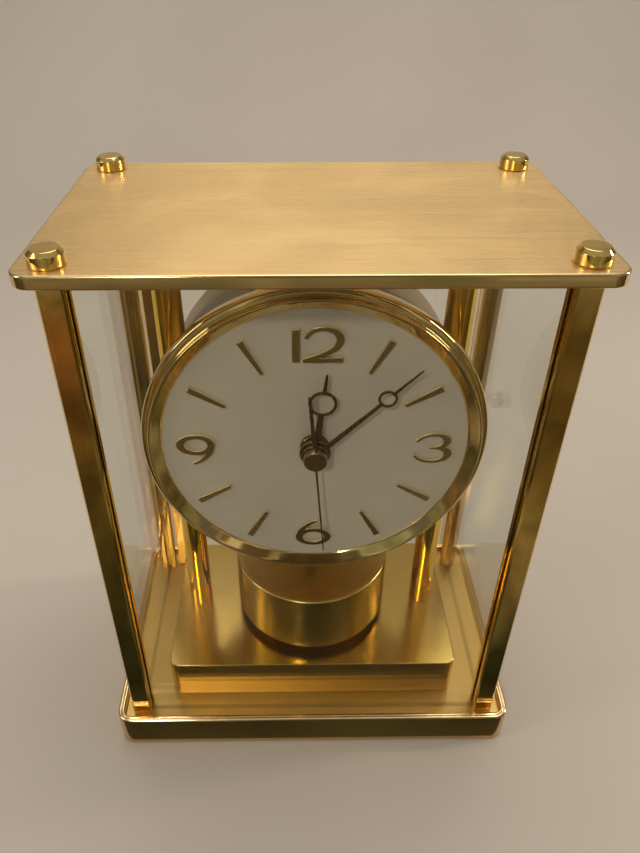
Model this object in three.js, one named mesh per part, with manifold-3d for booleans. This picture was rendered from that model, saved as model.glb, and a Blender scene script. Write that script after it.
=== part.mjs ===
// Anniversary clock in a glazed brass case: square corner pillars, brushed top
// plate, round drum movement on two posts, and a rotating pendulum.
// Units: millimetres. +Z up, the dial faces -Y. Origin: centre of the base's
// underside, on the surface the clock stands on.
import * as THREE from 'three';
import { mergeVertices } from 'three/addons/utils/BufferGeometryUtils.js';
import Module from 'manifold-3d';

const wasm = await Module();
wasm.setup();

// ---------------------------------------------------------------- dimensions
const GAP = 0.04;            // air between pieces that rest on each other
// base
const BASE_W = 176.0, BASE_D = 108.4, BASE_LIP_Z = 17.4, BASE_R = 6.5;
const LIP_T = 3.0, FLOOR_Z = 13.6, FLOOR_T = 2.6, TRAY_BOTTOM_Z = 0.4;
const BOARD_T = 2.6;
// raised plinth
const PL_HX = 64.8, PL_HY = 37.8, PL_TOP = 34.4, PL_R = 4.5, PL_WALL = 2.4;
// top plate
const TOP_W = 174.0, TOP_D = 106.4, TOP_Z0 = 225.1, TOP_Z1 = 229.5, TOP_R = 6.0;
// corner pillars
const PIL = 8.2, PIL_X = 76.9, PIL_Y = 44.9, PIL_CH = 0.7;
const GROOVE_W = 2.3, GROOVE_D = 2.15;
const STUD_R = 2.4, SPIGOT_R = 2.9;
const NUT_R = 5.4, NUT_H = 5.0;
// glass
const GLASS_T = 2.0;
// inner posts, movement drum, pendulum
const SPINE_Y = 2.8;         // the posts and the pendulum share this plane
const POST_X = 53.7, POST_R = 5.3, POST_TOP = TOP_Z0 - GAP;
const DIAL_Z = 144.5, DIAL_Y = -19.0, DIAL_R = 59.2, DIAL_T = 1.1;
const CAN_R = 59.5, CAN_Y0 = DIAL_Y + DIAL_T + GAP, CAN_Y1 = 31.0, CAN_WALL = 2.0, WEB_T = 1.3;
const BEZEL_R = 65.6, BEZEL_BAND_R = 62.8, BEZEL_IN_R = 57.9;
const MARK_T = 1.5, BATON_IN = 37.9, BATON_OUT = 52.9;
const PEND_R = 34.9, PEND_Z0 = 39.2, PEND_Z1 = 69.5, PEND_WALL = 1.8, PEND_RECESS = 0.9, PEND_CROWN = 2.2;
// motion work, radii of the wheels (tooth tips are finer than this model)
const CENTRE = [0, DIAL_Z];
const THIRD_AX = [-10.3, DIAL_Z];
const INTER_AX = [8.5, DIAL_Z];
const ROTOR_AX = [8.5, DIAL_Z + 7.1];
const MOTION_AX = [0, DIAL_Z - 10.5];
const SETTING_AX = [0, DIAL_Z - 21.0];
// hands, degrees clockwise from twelve
const HOUR_DEG = 6.3, MINUTE_DEG = 44.8, SECOND_DEG = 175.3;

// ---------------------------------------------------------------- materials
const mat = (color, roughness, metalness, opacity = 1) => new THREE.MeshStandardMaterial({
  color, roughness, metalness, opacity, transparent: opacity < 1 });
const M = {
  satin: () => mat(0xd7b982, 0.38, 1), polished: () => mat(0xd9a441, 0.12, 1),
  pillar: () => mat(0xcf9f45, 0.14, 1), dial: () => mat(0xe9e0d2, 0.75, 0),
  marker: () => mat(0xb59350, 0.3, 1), hand: () => mat(0x54431f, 0.4, 0.9),
  can: () => mat(0xcdb891, 0.5, 0.2), glass: () => mat(0xeef2ee, 0.05, 0, 0.2),
  felt: () => mat(0x2b3026, 0.95, 0), steel: () => mat(0xb9bcc0, 0.35, 1),
  black: () => mat(0x1d1d1f, 0.55, 0), resin: () => mat(0xe6e2d6, 0.5, 0),
  gear: () => mat(0xd8c58e, 0.4, 0.3), board: () => mat(0x2f5b3a, 0.6, 0),
  copper: () => mat(0xb56a3a, 0.35, 1), cell: () => mat(0x3a6a9a, 0.4, 0.3),
};

// ---------------------------------------------------------------- solid tools
function toSolid(geometry) {
  let g = geometry.index ? geometry.clone() : geometry;
  g.deleteAttribute('normal'); g.deleteAttribute('uv');
  g = mergeVertices(g, 1e-4);
  const p = g.attributes.position.array, ix = g.index.array, tri = [];
  let vol = 0;
  for (let i = 0; i < ix.length; i += 3) {
    const [a, b, c] = [ix[i], ix[i + 1], ix[i + 2]];
    if (a === b || b === c || c === a) continue;
    tri.push(a, b, c);
    const A = [p[3 * a], p[3 * a + 1], p[3 * a + 2]], B = [p[3 * b], p[3 * b + 1], p[3 * b + 2]], C = [p[3 * c], p[3 * c + 1], p[3 * c + 2]];
    vol += A[0] * (B[1] * C[2] - B[2] * C[1]) - A[1] * (B[0] * C[2] - B[2] * C[0]) + A[2] * (B[0] * C[1] - B[1] * C[0]);
  }
  if (vol < 0) for (let i = 0; i < tri.length; i += 3) [tri[i + 1], tri[i + 2]] = [tri[i + 2], tri[i + 1]];
  return new wasm.Manifold(new wasm.Mesh({ numProp: 3, vertProperties: new Float32Array(p), triVerts: new Uint32Array(tri) }));
}
function toGeometry(solid) {
  const m = solid.getMesh();
  const g = new THREE.BufferGeometry();
  const v = new Float32Array(m.numVert * 3);
  for (let i = 0; i < m.numVert; i++) for (let k = 0; k < 3; k++) v[3 * i + k] = m.vertProperties[m.numProp * i + k];
  g.setAttribute('position', new THREE.BufferAttribute(v, 3));
  g.setIndex(new THREE.BufferAttribute(new Uint32Array(m.triVerts), 1));
  g.computeVertexNormals();
  return g;
}
const cut = (a, ...rest) => rest.reduce((s, b) => s.subtract(b), a);
const join = (a, ...rest) => rest.reduce((s, b) => s.add(b), a);

const boxAt = (x0, x1, y0, y1, z0, z1) => {
  const g = new THREE.BoxGeometry(x1 - x0, y1 - y0, z1 - z0);
  g.translate((x0 + x1) / 2, (y0 + y1) / 2, (z0 + z1) / 2);
  return toSolid(g);
};
// cylinders (or cones) along each axis
const cylZ = (x, y, z0, z1, r, n = 32, rTop = r) => {
  const g = new THREE.CylinderGeometry(rTop, r, z1 - z0, n);
  g.rotateX(Math.PI / 2); g.translate(x, y, (z0 + z1) / 2);
  return toSolid(g);
};
const cylY = (x, z, y0, y1, r, n = 32) => {
  const g = new THREE.CylinderGeometry(r, r, y1 - y0, n);
  g.translate(x, (y0 + y1) / 2, z);
  return toSolid(g);
};
const cylX = (y, z, x0, x1, r, n = 24) => {
  const g = new THREE.CylinderGeometry(r, r, x1 - x0, n);
  g.rotateZ(Math.PI / 2); g.translate((x0 + x1) / 2, y, z);
  return toSolid(g);
};
// closed profile revolved about a vertical axis through (x, y)
const turnZ = (x, y, profile, n = 48) => {
  const pts = profile.map(([r, z]) => new THREE.Vector2(r, z));
  const g = new THREE.LatheGeometry([...pts, pts[0].clone()], n);
  g.rotateX(Math.PI / 2); g.translate(x, y, 0);
  return toSolid(g);
};
// closed profile of [radius, y] revolved about the axis along Y through (x, z)
const turnY = (x, z, profile, n = 48) => {
  const pts = profile.map(([r, y]) => new THREE.Vector2(r, y));
  const g = new THREE.LatheGeometry([...pts, pts[0].clone()], n);
  g.translate(x, 0, z);
  return toSolid(g);
};
function roundedRect(hx, hy, r, seg = 6) {
  const s = [];
  for (const [cx, cy, a0] of [[hx - r, hy - r, 0], [-hx + r, hy - r, 90], [-hx + r, -hy + r, 180], [hx - r, -hy + r, 270]]) {
    for (let i = 0; i <= seg; i++) {
      const a = (a0 + 90 * i / seg) * Math.PI / 180;
      s.push(new THREE.Vector2(cx + r * Math.cos(a), cy + r * Math.sin(a)));
    }
  }
  return new THREE.Shape(s);
}
// prism with rounded corners; ch bevels its top edge
const slab = (hx, hy, r, z0, z1, seg = 6, ch = 0, cy = 0) => {
  if (!ch) {
    const g = new THREE.ExtrudeGeometry(roundedRect(hx, hy, r, seg), { depth: z1 - z0, bevelEnabled: false, curveSegments: 1 });
    g.translate(0, cy, z0);
    return toSolid(g);
  }
  const low = new THREE.ExtrudeGeometry(roundedRect(hx, hy, r, seg), { depth: z1 - z0, bevelEnabled: false, curveSegments: 1 });
  low.translate(0, cy, z0);
  const cap = new THREE.ExtrudeGeometry(roundedRect(hx - ch, hy - ch, r - ch, seg), { depth: z1 - z0 - ch, bevelEnabled: true, bevelThickness: ch, bevelSize: ch, bevelSegments: 1, bevelOffset: 0, curveSegments: 1 });
  cap.translate(0, cy, z0);
  // the bevelled body is cut square at its lower end by the plain prism
  return toSolid(cap).intersect(toSolid(low));
};
// flat outline in the dial plane, pushed from y1 forwards to y0
const plateY = (shape, y0, y1, curveSegments = 12) => {
  const g = new THREE.ExtrudeGeometry(shape, { depth: y1 - y0, bevelEnabled: false, curveSegments });
  g.rotateX(Math.PI / 2);
  g.translate(0, y1, 0);
  return toSolid(g);
};

const root = new THREE.Group();
root.name = 'anniversary_clock';
function put(name, solid, material, parent = root) {
  const mesh = new THREE.Mesh(toGeometry(solid), material);
  mesh.name = name;
  parent.add(mesh);
  return mesh;
}

// ---------------------------------------------------------------- base
const corners = [['front_left', -1, -1], ['front_right', 1, -1], ['rear_left', -1, 1], ['rear_right', 1, 1]];
const DOOR_X = -PIL_X + PIL / 2 + 2.2;      // pivot line of the rear glass door
{
  let s = slab(BASE_W / 2, BASE_D / 2, BASE_R, TRAY_BOTTOM_Z, BASE_LIP_Z, 6, 0.7);
  s = cut(s,
    slab(BASE_W / 2 - LIP_T, BASE_D / 2 - LIP_T, BASE_R - LIP_T, FLOOR_Z, BASE_LIP_Z + 2, 6),
    slab(BASE_W / 2 - 2.6, BASE_D / 2 - 2.6, BASE_R - 2.6, TRAY_BOTTOM_Z - 1, FLOOR_Z - FLOOR_T, 6));
  for (const [, sx, sy] of corners) s = cut(s, cylZ(sx * PIL_X, sy * PIL_Y, FLOOR_Z - FLOOR_T - 1, FLOOR_Z + 1, SPIGOT_R + 0.05, 20));
  s = cut(s, cylZ(DOOR_X, PIL_Y, FLOOR_Z - FLOOR_T - 1, FLOOR_Z + 1, 1.08, 16));
  put('base_tray', s, M.satin());
}
put('base_felt_board', slab(BASE_W / 2 - 2.7, BASE_D / 2 - 2.7, BASE_R - 2.7, 0, BOARD_T, 5, 0.3), M.felt());
{
  let s = slab(PL_HX, PL_HY, PL_R, FLOOR_Z + GAP, PL_TOP, 6, 0.5);
  s = cut(s, slab(PL_HX - PL_WALL, PL_HY - PL_WALL, PL_R - PL_WALL, FLOOR_Z - 2, PL_TOP - PL_WALL, 4));
  for (const sx of [-1, 1]) s = cut(s, cylZ(sx * POST_X, SPINE_Y, PL_TOP - 5, PL_TOP + 2, 2.55, 20));
  put('plinth', s, M.satin());
}

// ---------------------------------------------------------------- pillars and top
for (const [tag, sx, sy] of corners) {
  const h = PIL / 2, c = PIL_CH;
  const z0 = FLOOR_Z + GAP, z1 = TOP_Z0 - GAP;
  const outline = new THREE.Shape([[h - c, -h], [h, -h + c], [h, h - c], [h - c, h], [-h + c, h], [-h, h - c], [-h, -h + c], [-h + c, -h]].map(([x, y]) => new THREE.Vector2(x, y)));
  const g = new THREE.ExtrudeGeometry(outline, { depth: z1 - z0, bevelEnabled: false });
  g.translate(sx * PIL_X, sy * PIL_Y, z0);
  let s = join(toSolid(g),
    cylZ(sx * PIL_X, sy * PIL_Y, z1 - 1, TOP_Z1 + 3.2, STUD_R, 20),
    cylZ(sx * PIL_X, sy * PIL_Y, FLOOR_Z - FLOOR_T - 0.4, z0 + 1, SPIGOT_R, 20));
  // groove for the side pane, on the face that looks along the side
  const yi = sy * (PIL_Y - h);
  s = cut(s, boxAt(sx * PIL_X - GROOVE_W / 2, sx * PIL_X + GROOVE_W / 2,
    Math.min(yi - sy * 1, yi + sy * GROOVE_D), Math.max(yi - sy * 1, yi + sy * GROOVE_D), z0 - 0.5, z1 + 0.5));
  if (sy < 0) {
    const xi = sx * (PIL_X - h);
    s = cut(s, boxAt(Math.min(xi - sx * 1, xi + sx * GROOVE_D), Math.max(xi - sx * 1, xi + sx * GROOVE_D),
      -PIL_Y - GROOVE_W / 2, -PIL_Y + GROOVE_W / 2, z0 - 0.5, z1 + 0.5));
  }
  put(`corner_pillar_${tag}`, s, M.pillar());
}
{
  let s = slab(TOP_W / 2, TOP_D / 2, TOP_R, TOP_Z0, TOP_Z1, 6, 0.6);
  for (const [, sx, sy] of corners) s = cut(s, cylZ(sx * PIL_X, sy * PIL_Y, TOP_Z0 - 1, TOP_Z1 + 1, STUD_R + 0.15, 20));
  s = cut(s, cylZ(DOOR_X, PIL_Y, TOP_Z0 - 1, TOP_Z0 + 2.2, 1.08, 16));
  put('top_plate', s, M.satin());
}
for (const [tag, sx, sy] of corners) {
  const z = TOP_Z1 + GAP, t = TOP_Z1 + NUT_H;
  put(`cap_nut_${tag}`, turnZ(sx * PIL_X, sy * PIL_Y, [
    [STUD_R + 0.1, z], [NUT_R - 0.5, z], [NUT_R, z + 0.5], [NUT_R, t - 1.1], [NUT_R - 1.0, t], [0, t], [0, TOP_Z1 + 3.4], [STUD_R + 0.1, TOP_Z1 + 3.4]], 28), M.polished());
}

// ---------------------------------------------------------------- glazing
const GZ0 = FLOOR_Z + 0.15, GZ1 = TOP_Z0 - 0.15;
put('front_glass', boxAt(-PIL_X + PIL / 2 - 2, PIL_X - PIL / 2 + 2, -PIL_Y - GLASS_T / 2, -PIL_Y + GLASS_T / 2, GZ0, GZ1), M.glass());
put('left_glass', boxAt(-PIL_X - GLASS_T / 2, -PIL_X + GLASS_T / 2, -PIL_Y + PIL / 2 - 2, PIL_Y - PIL / 2 + 2, GZ0, GZ1), M.glass());
put('right_glass', boxAt(PIL_X - GLASS_T / 2, PIL_X + GLASS_T / 2, -PIL_Y + PIL / 2 - 2, PIL_Y - PIL / 2 + 2, GZ0, GZ1), M.glass());
// rear door: pane in a channel rail that turns on two pins; the pane swings over the lip of the base
const DOOR_Z0 = BASE_LIP_Z + 0.6;
put('rear_door_glass', boxAt(DOOR_X + 1.15, PIL_X - PIL / 2 - 0.6, PIL_Y - GLASS_T / 2, PIL_Y + GLASS_T / 2, DOOR_Z0, TOP_Z0 - 0.7), M.glass());
{
  const z0 = FLOOR_Z + 0.6, z1 = TOP_Z0 - 0.6;
  let s = boxAt(DOOR_X - 1.2, DOOR_X + 5.2, PIL_Y - 1.7, PIL_Y + 1.7, z0, z1);
  s = cut(s, boxAt(DOOR_X + 0.8, DOOR_X + 6, PIL_Y - GLASS_T / 2 - 0.05, PIL_Y + GLASS_T / 2 + 0.05, z0 - 1, z1 + 1));
  s = join(s, cylZ(DOOR_X, PIL_Y, z0 - 2.3, z0 + 1, 1.0, 16), cylZ(DOOR_X, PIL_Y, z1 - 1, z1 + 2.3, 1.0, 16));
  put('rear_door_hinge_rail', s, M.pillar());
}
{
  const x = PIL_X - PIL / 2 - 10, z = (FLOOR_Z + TOP_Z0) / 2;
  put('rear_door_pull', turnY(x, z, [[0, PIL_Y + GLASS_T / 2 + GAP], [3.2, PIL_Y + GLASS_T / 2 + GAP], [3.2, PIL_Y + GLASS_T / 2 + 0.9], [1.6, PIL_Y + 2.6], [1.6, PIL_Y + 4.6], [3.6, PIL_Y + 5.6], [3.6, PIL_Y + 7.4], [2.6, PIL_Y + 8.4], [0, PIL_Y + 8.6]], 24), M.polished());
}

// ---------------------------------------------------------------- posts, drum housing, bezel, dial
for (const [tag, sx] of [['left', -1], ['right', 1]]) {
  put(`movement_post_${tag}`, join(
    cylZ(sx * POST_X, SPINE_Y, PL_TOP + GAP, POST_TOP, POST_R, 32),
    cylZ(sx * POST_X, SPINE_Y, PL_TOP - 3.2, PL_TOP + 1, 2.5, 20)), M.polished());
}
{
  // drum shell, closed at the front by a web that carries the dial, open at the back
  let s = turnY(0, DIAL_Z, [[0, CAN_Y0], [CAN_R, CAN_Y0], [CAN_R, CAN_Y1 - 0.8], [CAN_R - 0.8, CAN_Y1], [CAN_R - CAN_WALL, CAN_Y1], [CAN_R - CAN_WALL, CAN_Y0 + WEB_T], [0, CAN_Y0 + WEB_T]], 72);
  for (const sx of [-1, 1]) s = join(s, cylZ(sx * POST_X, SPINE_Y, DIAL_Z - 27, DIAL_Z + 27, POST_R + 2.2, 32).intersect(cylY(0, DIAL_Z, CAN_Y0 - 1, CAN_Y1 + 1, BEZEL_R - 3.2, 72)));
  for (const sx of [-1, 1]) s = cut(s, cylZ(sx * POST_X, SPINE_Y, DIAL_Z - 80, DIAL_Z + 80, POST_R + 0.2, 32));
  s = cut(s, cylY(0, DIAL_Z, CAN_Y0 - 2, CAN_Y0 + 4, 4.3, 24),
    cylZ(0, SPINE_Y, DIAL_Z - CAN_R - 4, DIAL_Z - CAN_R + 6, 3.4, 24));
  put('movement_housing', s, M.can());
}
{
  let s = turnY(0, DIAL_Z, [[0, CAN_Y1 - 2.1], [CAN_R - CAN_WALL - 0.1, CAN_Y1 - 2.1], [CAN_R - CAN_WALL - 0.1, CAN_Y1], [0, CAN_Y1]], 64);
  s = cut(s, cylY(SETTING_AX[0], SETTING_AX[1], 20, 40, 2.08, 24),
    boxAt(-30, 30, 20, 40, DIAL_Z + 13, DIAL_Z + 33));
  put('movement_rear_cover', s, M.can());
}
{
  // slides sideways over the battery opening on the back of the cover
  let s = boxAt(-33, 33, CAN_Y1 + 0.1, CAN_Y1 + 1.7, DIAL_Z + 10.5, DIAL_Z + 35.5);
  for (let i = 0; i < 4; i++) s = join(s, boxAt(18 + i * 3, 19 + i * 3, CAN_Y1 + 1.5, CAN_Y1 + 2.3, DIAL_Z + 16, DIAL_Z + 30));
  put('battery_cover', s, M.can());
}
put('bezel', turnY(0, DIAL_Z, [
  [BEZEL_IN_R, DIAL_Y - GAP], [BEZEL_IN_R, -19.3], [BEZEL_BAND_R - 0.8, -22.2], [BEZEL_BAND_R - 0.5, -22.3], [BEZEL_BAND_R - 0.1, -22.1], [BEZEL_BAND_R, -21.7],
  [BEZEL_BAND_R + 0.2, -19.6], [BEZEL_R - 0.7, -19.3], [BEZEL_R, -18.6], [BEZEL_R, -14.4], [BEZEL_R - 0.6, -14.0], [CAN_R + 0.12, -14.0], [CAN_R + 0.12, DIAL_Y - GAP]], 96), M.polished());
put('dial_plate', turnY(0, DIAL_Z, [[4.2, DIAL_Y], [DIAL_R, DIAL_Y], [DIAL_R, DIAL_Y + DIAL_T], [4.2, DIAL_Y + DIAL_T]], 72), M.dial());

// ---------------------------------------------------------------- applied hour marks
const MY1 = DIAL_Y - GAP, MY0 = MY1 - MARK_T;
const place = (solid, deg, r) => {
  const a = deg * Math.PI / 180;
  return solid.translate(r * Math.sin(a), 0, DIAL_Z + r * Math.cos(a));
};
// outline swept by an elliptical pen: half-width hx across, hz up and down
function stroke(points, hx, hz) {
  const k = hz / hx, p = points.map(([x, z]) => [x * k, z]), left = [], right = [];
  for (let i = 0; i < p.length; i++) {
    const a = p[Math.max(0, i - 1)], b = p[Math.min(p.length - 1, i + 1)];
    const dx = b[0] - a[0], dz = b[1] - a[1], l = Math.hypot(dx, dz) || 1;
    left.push([(p[i][0] - dz / l * hz) / k, p[i][1] + dx / l * hz]);
    right.push([(p[i][0] + dz / l * hz) / k, p[i][1] - dx / l * hz]);
  }
  return new THREE.Shape([...left, ...right.reverse()].map(([x, z]) => new THREE.Vector2(x, z)));
}
const arc = (cx, cz, rx, rz, a0, a1, n = 14) => Array.from({ length: n + 1 }, (_, i) => {
  const a = (a0 + (a1 - a0) * i / n) * Math.PI / 180;
  return [cx + rx * Math.cos(a), cz + rz * Math.sin(a)];
});
const HX = 1.35, HZ = 0.95;
const pen = (pts) => plateY(stroke(pts, HX, HZ), MY0, MY1);
const ellipse = (cx, cz, rx, rz) => { const s = new THREE.Shape(); s.absellipse(cx, cz, rx, rz, 0, Math.PI * 2, false, 0); return s; };
const nine = () => join(
  cut(plateY(ellipse(0, 2.2, 7.3, 4.75), MY0, MY1, 14), plateY(ellipse(0, 2.2, 4.5, 2.9), MY0 - 1, MY1 + 1, 14)),
  pen([[5.95, 2.2], [5.85, 0.9], [5.3, -0.6], [4.2, -2.3], [2.6, -4.0], [0.6, -5.5], [-1.0, -6.4]]));
put('numeral_12_digit_1', place(plateY(new THREE.Shape([[-8.3, -6.5], [-5.4, -6.5], [-5.4, 6.6], [-8.3, 6.6]].map(([x, z]) => new THREE.Vector2(x, z))), MY0, MY1), 0, 45.2), M.marker());
put('numeral_12_digit_2', place(join(
  pen([...arc(2.6, 2.3, 5.9, 3.5, 168, -28, 12), [5.0, -1.5], [2.2, -3.2], [-0.6, -4.9], [-1.6, -5.6]]),
  plateY(new THREE.Shape([[-3.9, -6.5], [9.2, -6.5], [9.2, -4.6], [-3.9, -4.6]].map(([x, z]) => new THREE.Vector2(x, z))), MY0, MY1)), 0, 45.2), M.marker());
put('numeral_3', place(join(pen(arc(-0.2, 2.85, 5.7, 3.0, 165, -90, 14)), pen(arc(-0.2, -2.75, 6.0, 3.2, 90, -165, 14))), 90, 45.2), M.marker());
put('numeral_6', place(nine().rotate([0, 180, 0]), 180, 44.8), M.marker());
put('numeral_9', place(nine(), 270, 45.2), M.marker());
for (const h of [1, 2, 4, 5, 7, 8, 10, 11]) {
  const b = plateY(new THREE.Shape([[-0.75, BATON_IN], [0.75, BATON_IN], [1.25, BATON_OUT], [-1.25, BATON_OUT]].map(([x, z]) => new THREE.Vector2(x, z))), MY0, MY1);
  put(`hour_baton_${String(h).padStart(2, '0')}`, b.rotate([0, h * 30, 0]).translate(0, 0, DIAL_Z), M.marker());
}

// ---------------------------------------------------------------- hands
const handGroup = (deg) => {
  const g = new THREE.Group();
  g.position.set(0, 0, DIAL_Z);
  g.rotation.y = deg * Math.PI / 180;
  root.add(g);
  return g;
};
// flat blade along +Z from r0 to r1
const blade = (w0, w1, r0, r1, y0, y1) => plateY(new THREE.Shape([[-w0 / 2, r0], [w0 / 2, r0], [w1 / 2, r1], [-w1 / 2, r1]].map(([x, z]) => new THREE.Vector2(x, z))), y0, y1);
const ringY = (z, ro, ri, y0, y1, n = 28) => cut(cylY(0, z, y0, y1, ro, n), cylY(0, z, y0 - 1, y1 + 1, ri, n));
{
  const g = handGroup(HOUR_DEG), y0 = -24.0, y1 = -23.4;
  let s = join(blade(2.8, 2.2, 3, 18.2, y0, y1), ringY(22.5, 5.25, 4.15, y0, y1, 32), blade(1.5, 1.0, 27.3, 35.0, y0, y1),
    cylY(0, 0, -24.3, -22.9, 5.9, 32));
  s = cut(s, cylY(0, 0, -30, -20, 3.06, 24));
  put('hour_hand', s, M.hand(), g);
}
{
  const g = handGroup(MINUTE_DEG), y0 = -25.9, y1 = -25.3;
  let s = join(blade(2.2, 1.3, 3, 33.0, y0, y1), ringY(36.1, 3.5, 2.55, y0, y1, 28), blade(1.1, 0.6, 39.2, 52.6, y0, y1),
    cylY(0, 0, -26.3, -24.7, 5.0, 32));
  s = cut(s, cylY(0, 0, -30, -20, 2.02, 24));
  put('minute_hand', s, M.hand(), g);
}
{
  const g = handGroup(SECOND_DEG), y0 = -28.0, y1 = -27.5;
  let s = join(blade(0.9, 0.55, 2, 47.5, y0, y1), blade(1.5, 1.3, -28, -2, y0, y1),
    turnY(0, 0, [[0, -29.5], [3.9, -29.5], [4.5, -29.0], [4.5, -26.7], [0, -26.7]], 32));
  s = cut(s, cylY(0, 0, -28.2, -20, 0.81, 16));
  put('second_hand', s, M.hand(), g);
}
put('movement_centre_nut', cut(cylY(0, DIAL_Z, -21.0, DIAL_Y - GAP, 5.6, 32), cylY(0, DIAL_Z, -30, -10, 4.12, 24)), M.hand());

// ---------------------------------------------------------------- quartz movement
const MV = 28, MZ0 = DIAL_Z - MV, MZ1 = DIAL_Z + MV, MVY0 = CAN_Y0 + WEB_T + GAP, MVY1 = -2.0;
{
  let s = cut(boxAt(-MV, MV, MVY0, -4.0, MZ0, MZ1), boxAt(-MV + 1.2, MV - 1.2, MVY0 + 1.0, -2, MZ0 + 1.2, MZ1 - 1.2));
  s = join(s, cylY(0, DIAL_Z, -21.6, MVY0 + 0.9, 4.0, 24));
  s = cut(s, cylY(0, DIAL_Z, -30, -14, 3.1, 24));
  put('movement_front_case', s, M.black());
}
{
  let s = cut(boxAt(-MV, MV, -4.0 + GAP, MVY1, MZ0, MZ1), boxAt(-MV + 1.2, MV - 1.2, -4.5, -3.0, MZ0 + 1.2, MZ1 - 1.2),
    cylY(SETTING_AX[0], SETTING_AX[1], -10, 5, 2.08, 24));
  put('movement_rear_case', s, M.black());
}
// wheels: [outer radius, y0, y1]
const wheel = (ax, y0, y1, r, n = 36) => cylY(ax[0], ax[1], y0, y1, r, n);
put('hour_wheel_and_pipe', cut(join(wheel(CENTRE, -15.3, -14.6, 8.3), wheel(CENTRE, -24.6, -14.5, 3.0, 24)), wheel(CENTRE, -30, -10, 2.06, 24)), M.gear());
put('minute_wheel_and_pipe', cut(join(wheel(CENTRE, -12.6, -11.9, 9.07), wheel(CENTRE, -14.2, -12.5, 2.6, 28), wheel(CENTRE, -26.5, -12.0, 1.96, 24)), wheel(CENTRE, -30, -10, 0.86, 16)), M.gear());
put('seconds_wheel_and_arbor', join(wheel(CENTRE, -10.9, -10.3, 7.0), wheel(CENTRE, -10.4, -8.6, 1.2, 16), wheel(CENTRE, -28.1, -4.4, 0.75, 16)), M.gear());
put('third_wheel', join(wheel(THIRD_AX, -9.6, -9.0, 9.0), wheel(THIRD_AX, -13.0, -9.5, 1.13, 16), wheel(THIRD_AX, -15.2, -4.4, 0.5, 12)), M.gear());
put('intermediate_wheel', join(wheel(INTER_AX, -8.4, -7.8, 6.0), wheel(INTER_AX, -11.3, -8.3, 1.4, 16), wheel(INTER_AX, -11.8, -4.4, 0.5, 12)), M.gear());
put('stepper_rotor', join(wheel(ROTOR_AX, -8.8, -7.4, 1.0, 16), wheel(ROTOR_AX, -7.5, -5.3, 3.0, 24), wheel(ROTOR_AX, -12.0, -4.4, 0.5, 12)), M.steel());
put('motion_wheel', join(wheel(MOTION_AX, -13.6, -13.0, 7.8), wheel(MOTION_AX, -15.35, -13.5, 2.1, 20), wheel(MOTION_AX, -15.45, -11.0, 0.6, 12)), M.gear());
{
  // long stem out through the rear cover, with the knob at its end
  const s = join(wheel(SETTING_AX, -14.2, -12.6, 2.6, 20), wheel(SETTING_AX, -14.0, CAN_Y1 + 2.0, 2.0, 24),
    turnY(SETTING_AX[0], SETTING_AX[1], [[0, CAN_Y1 + 0.6], [6.2, CAN_Y1 + 0.6], [6.8, CAN_Y1 + 1.2], [6.8, CAN_Y1 + 5], [6.2, CAN_Y1 + 5.6], [0, CAN_Y1 + 5.6]], 28));
  put('setting_knob_and_stem', s, M.black());
}
{
  // coil wound on the leg of the stator that closes round the rotor
  const stator = cut(boxAt(3.6, 23.5, -6.9, -5.8, DIAL_Z + 2.4, DIAL_Z + 19.4), cylY(ROTOR_AX[0], ROTOR_AX[1], -9, -4, 3.3, 28));
  put('stepper_stator_and_coil', join(stator, cylX(-6.6, DIAL_Z + 17.6, 5.5, 21.5, 2.4, 24), cylX(-6.6, DIAL_Z + 17.6, 4.0, 5.6, 3.1, 24), cylX(-6.6, DIAL_Z + 17.6, 21.4, 23.0, 3.1, 24)), M.copper());
}
put('circuit_board', boxAt(-24, -3.0, -6.9, -5.9, DIAL_Z + 11.0, DIAL_Z + 25.0), M.board());
// AA cell in a tray behind the movement
put('battery_cell', join(cylX(19.7, DIAL_Z + 23, -25.2, 23.2, 7.1, 28), cylX(19.7, DIAL_Z + 23, 23.1, 24.9, 2.7, 16)), M.cell());
{
  let s = cut(boxAt(-28, 28, 10.5, CAN_Y1 - 2.3, DIAL_Z + 14.2, DIAL_Z + 31.8), boxAt(-26.6, 26.6, 12.0, 40, DIAL_Z + 15.6, DIAL_Z + 30.4));
  put('battery_tray', s, M.black());
}

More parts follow.
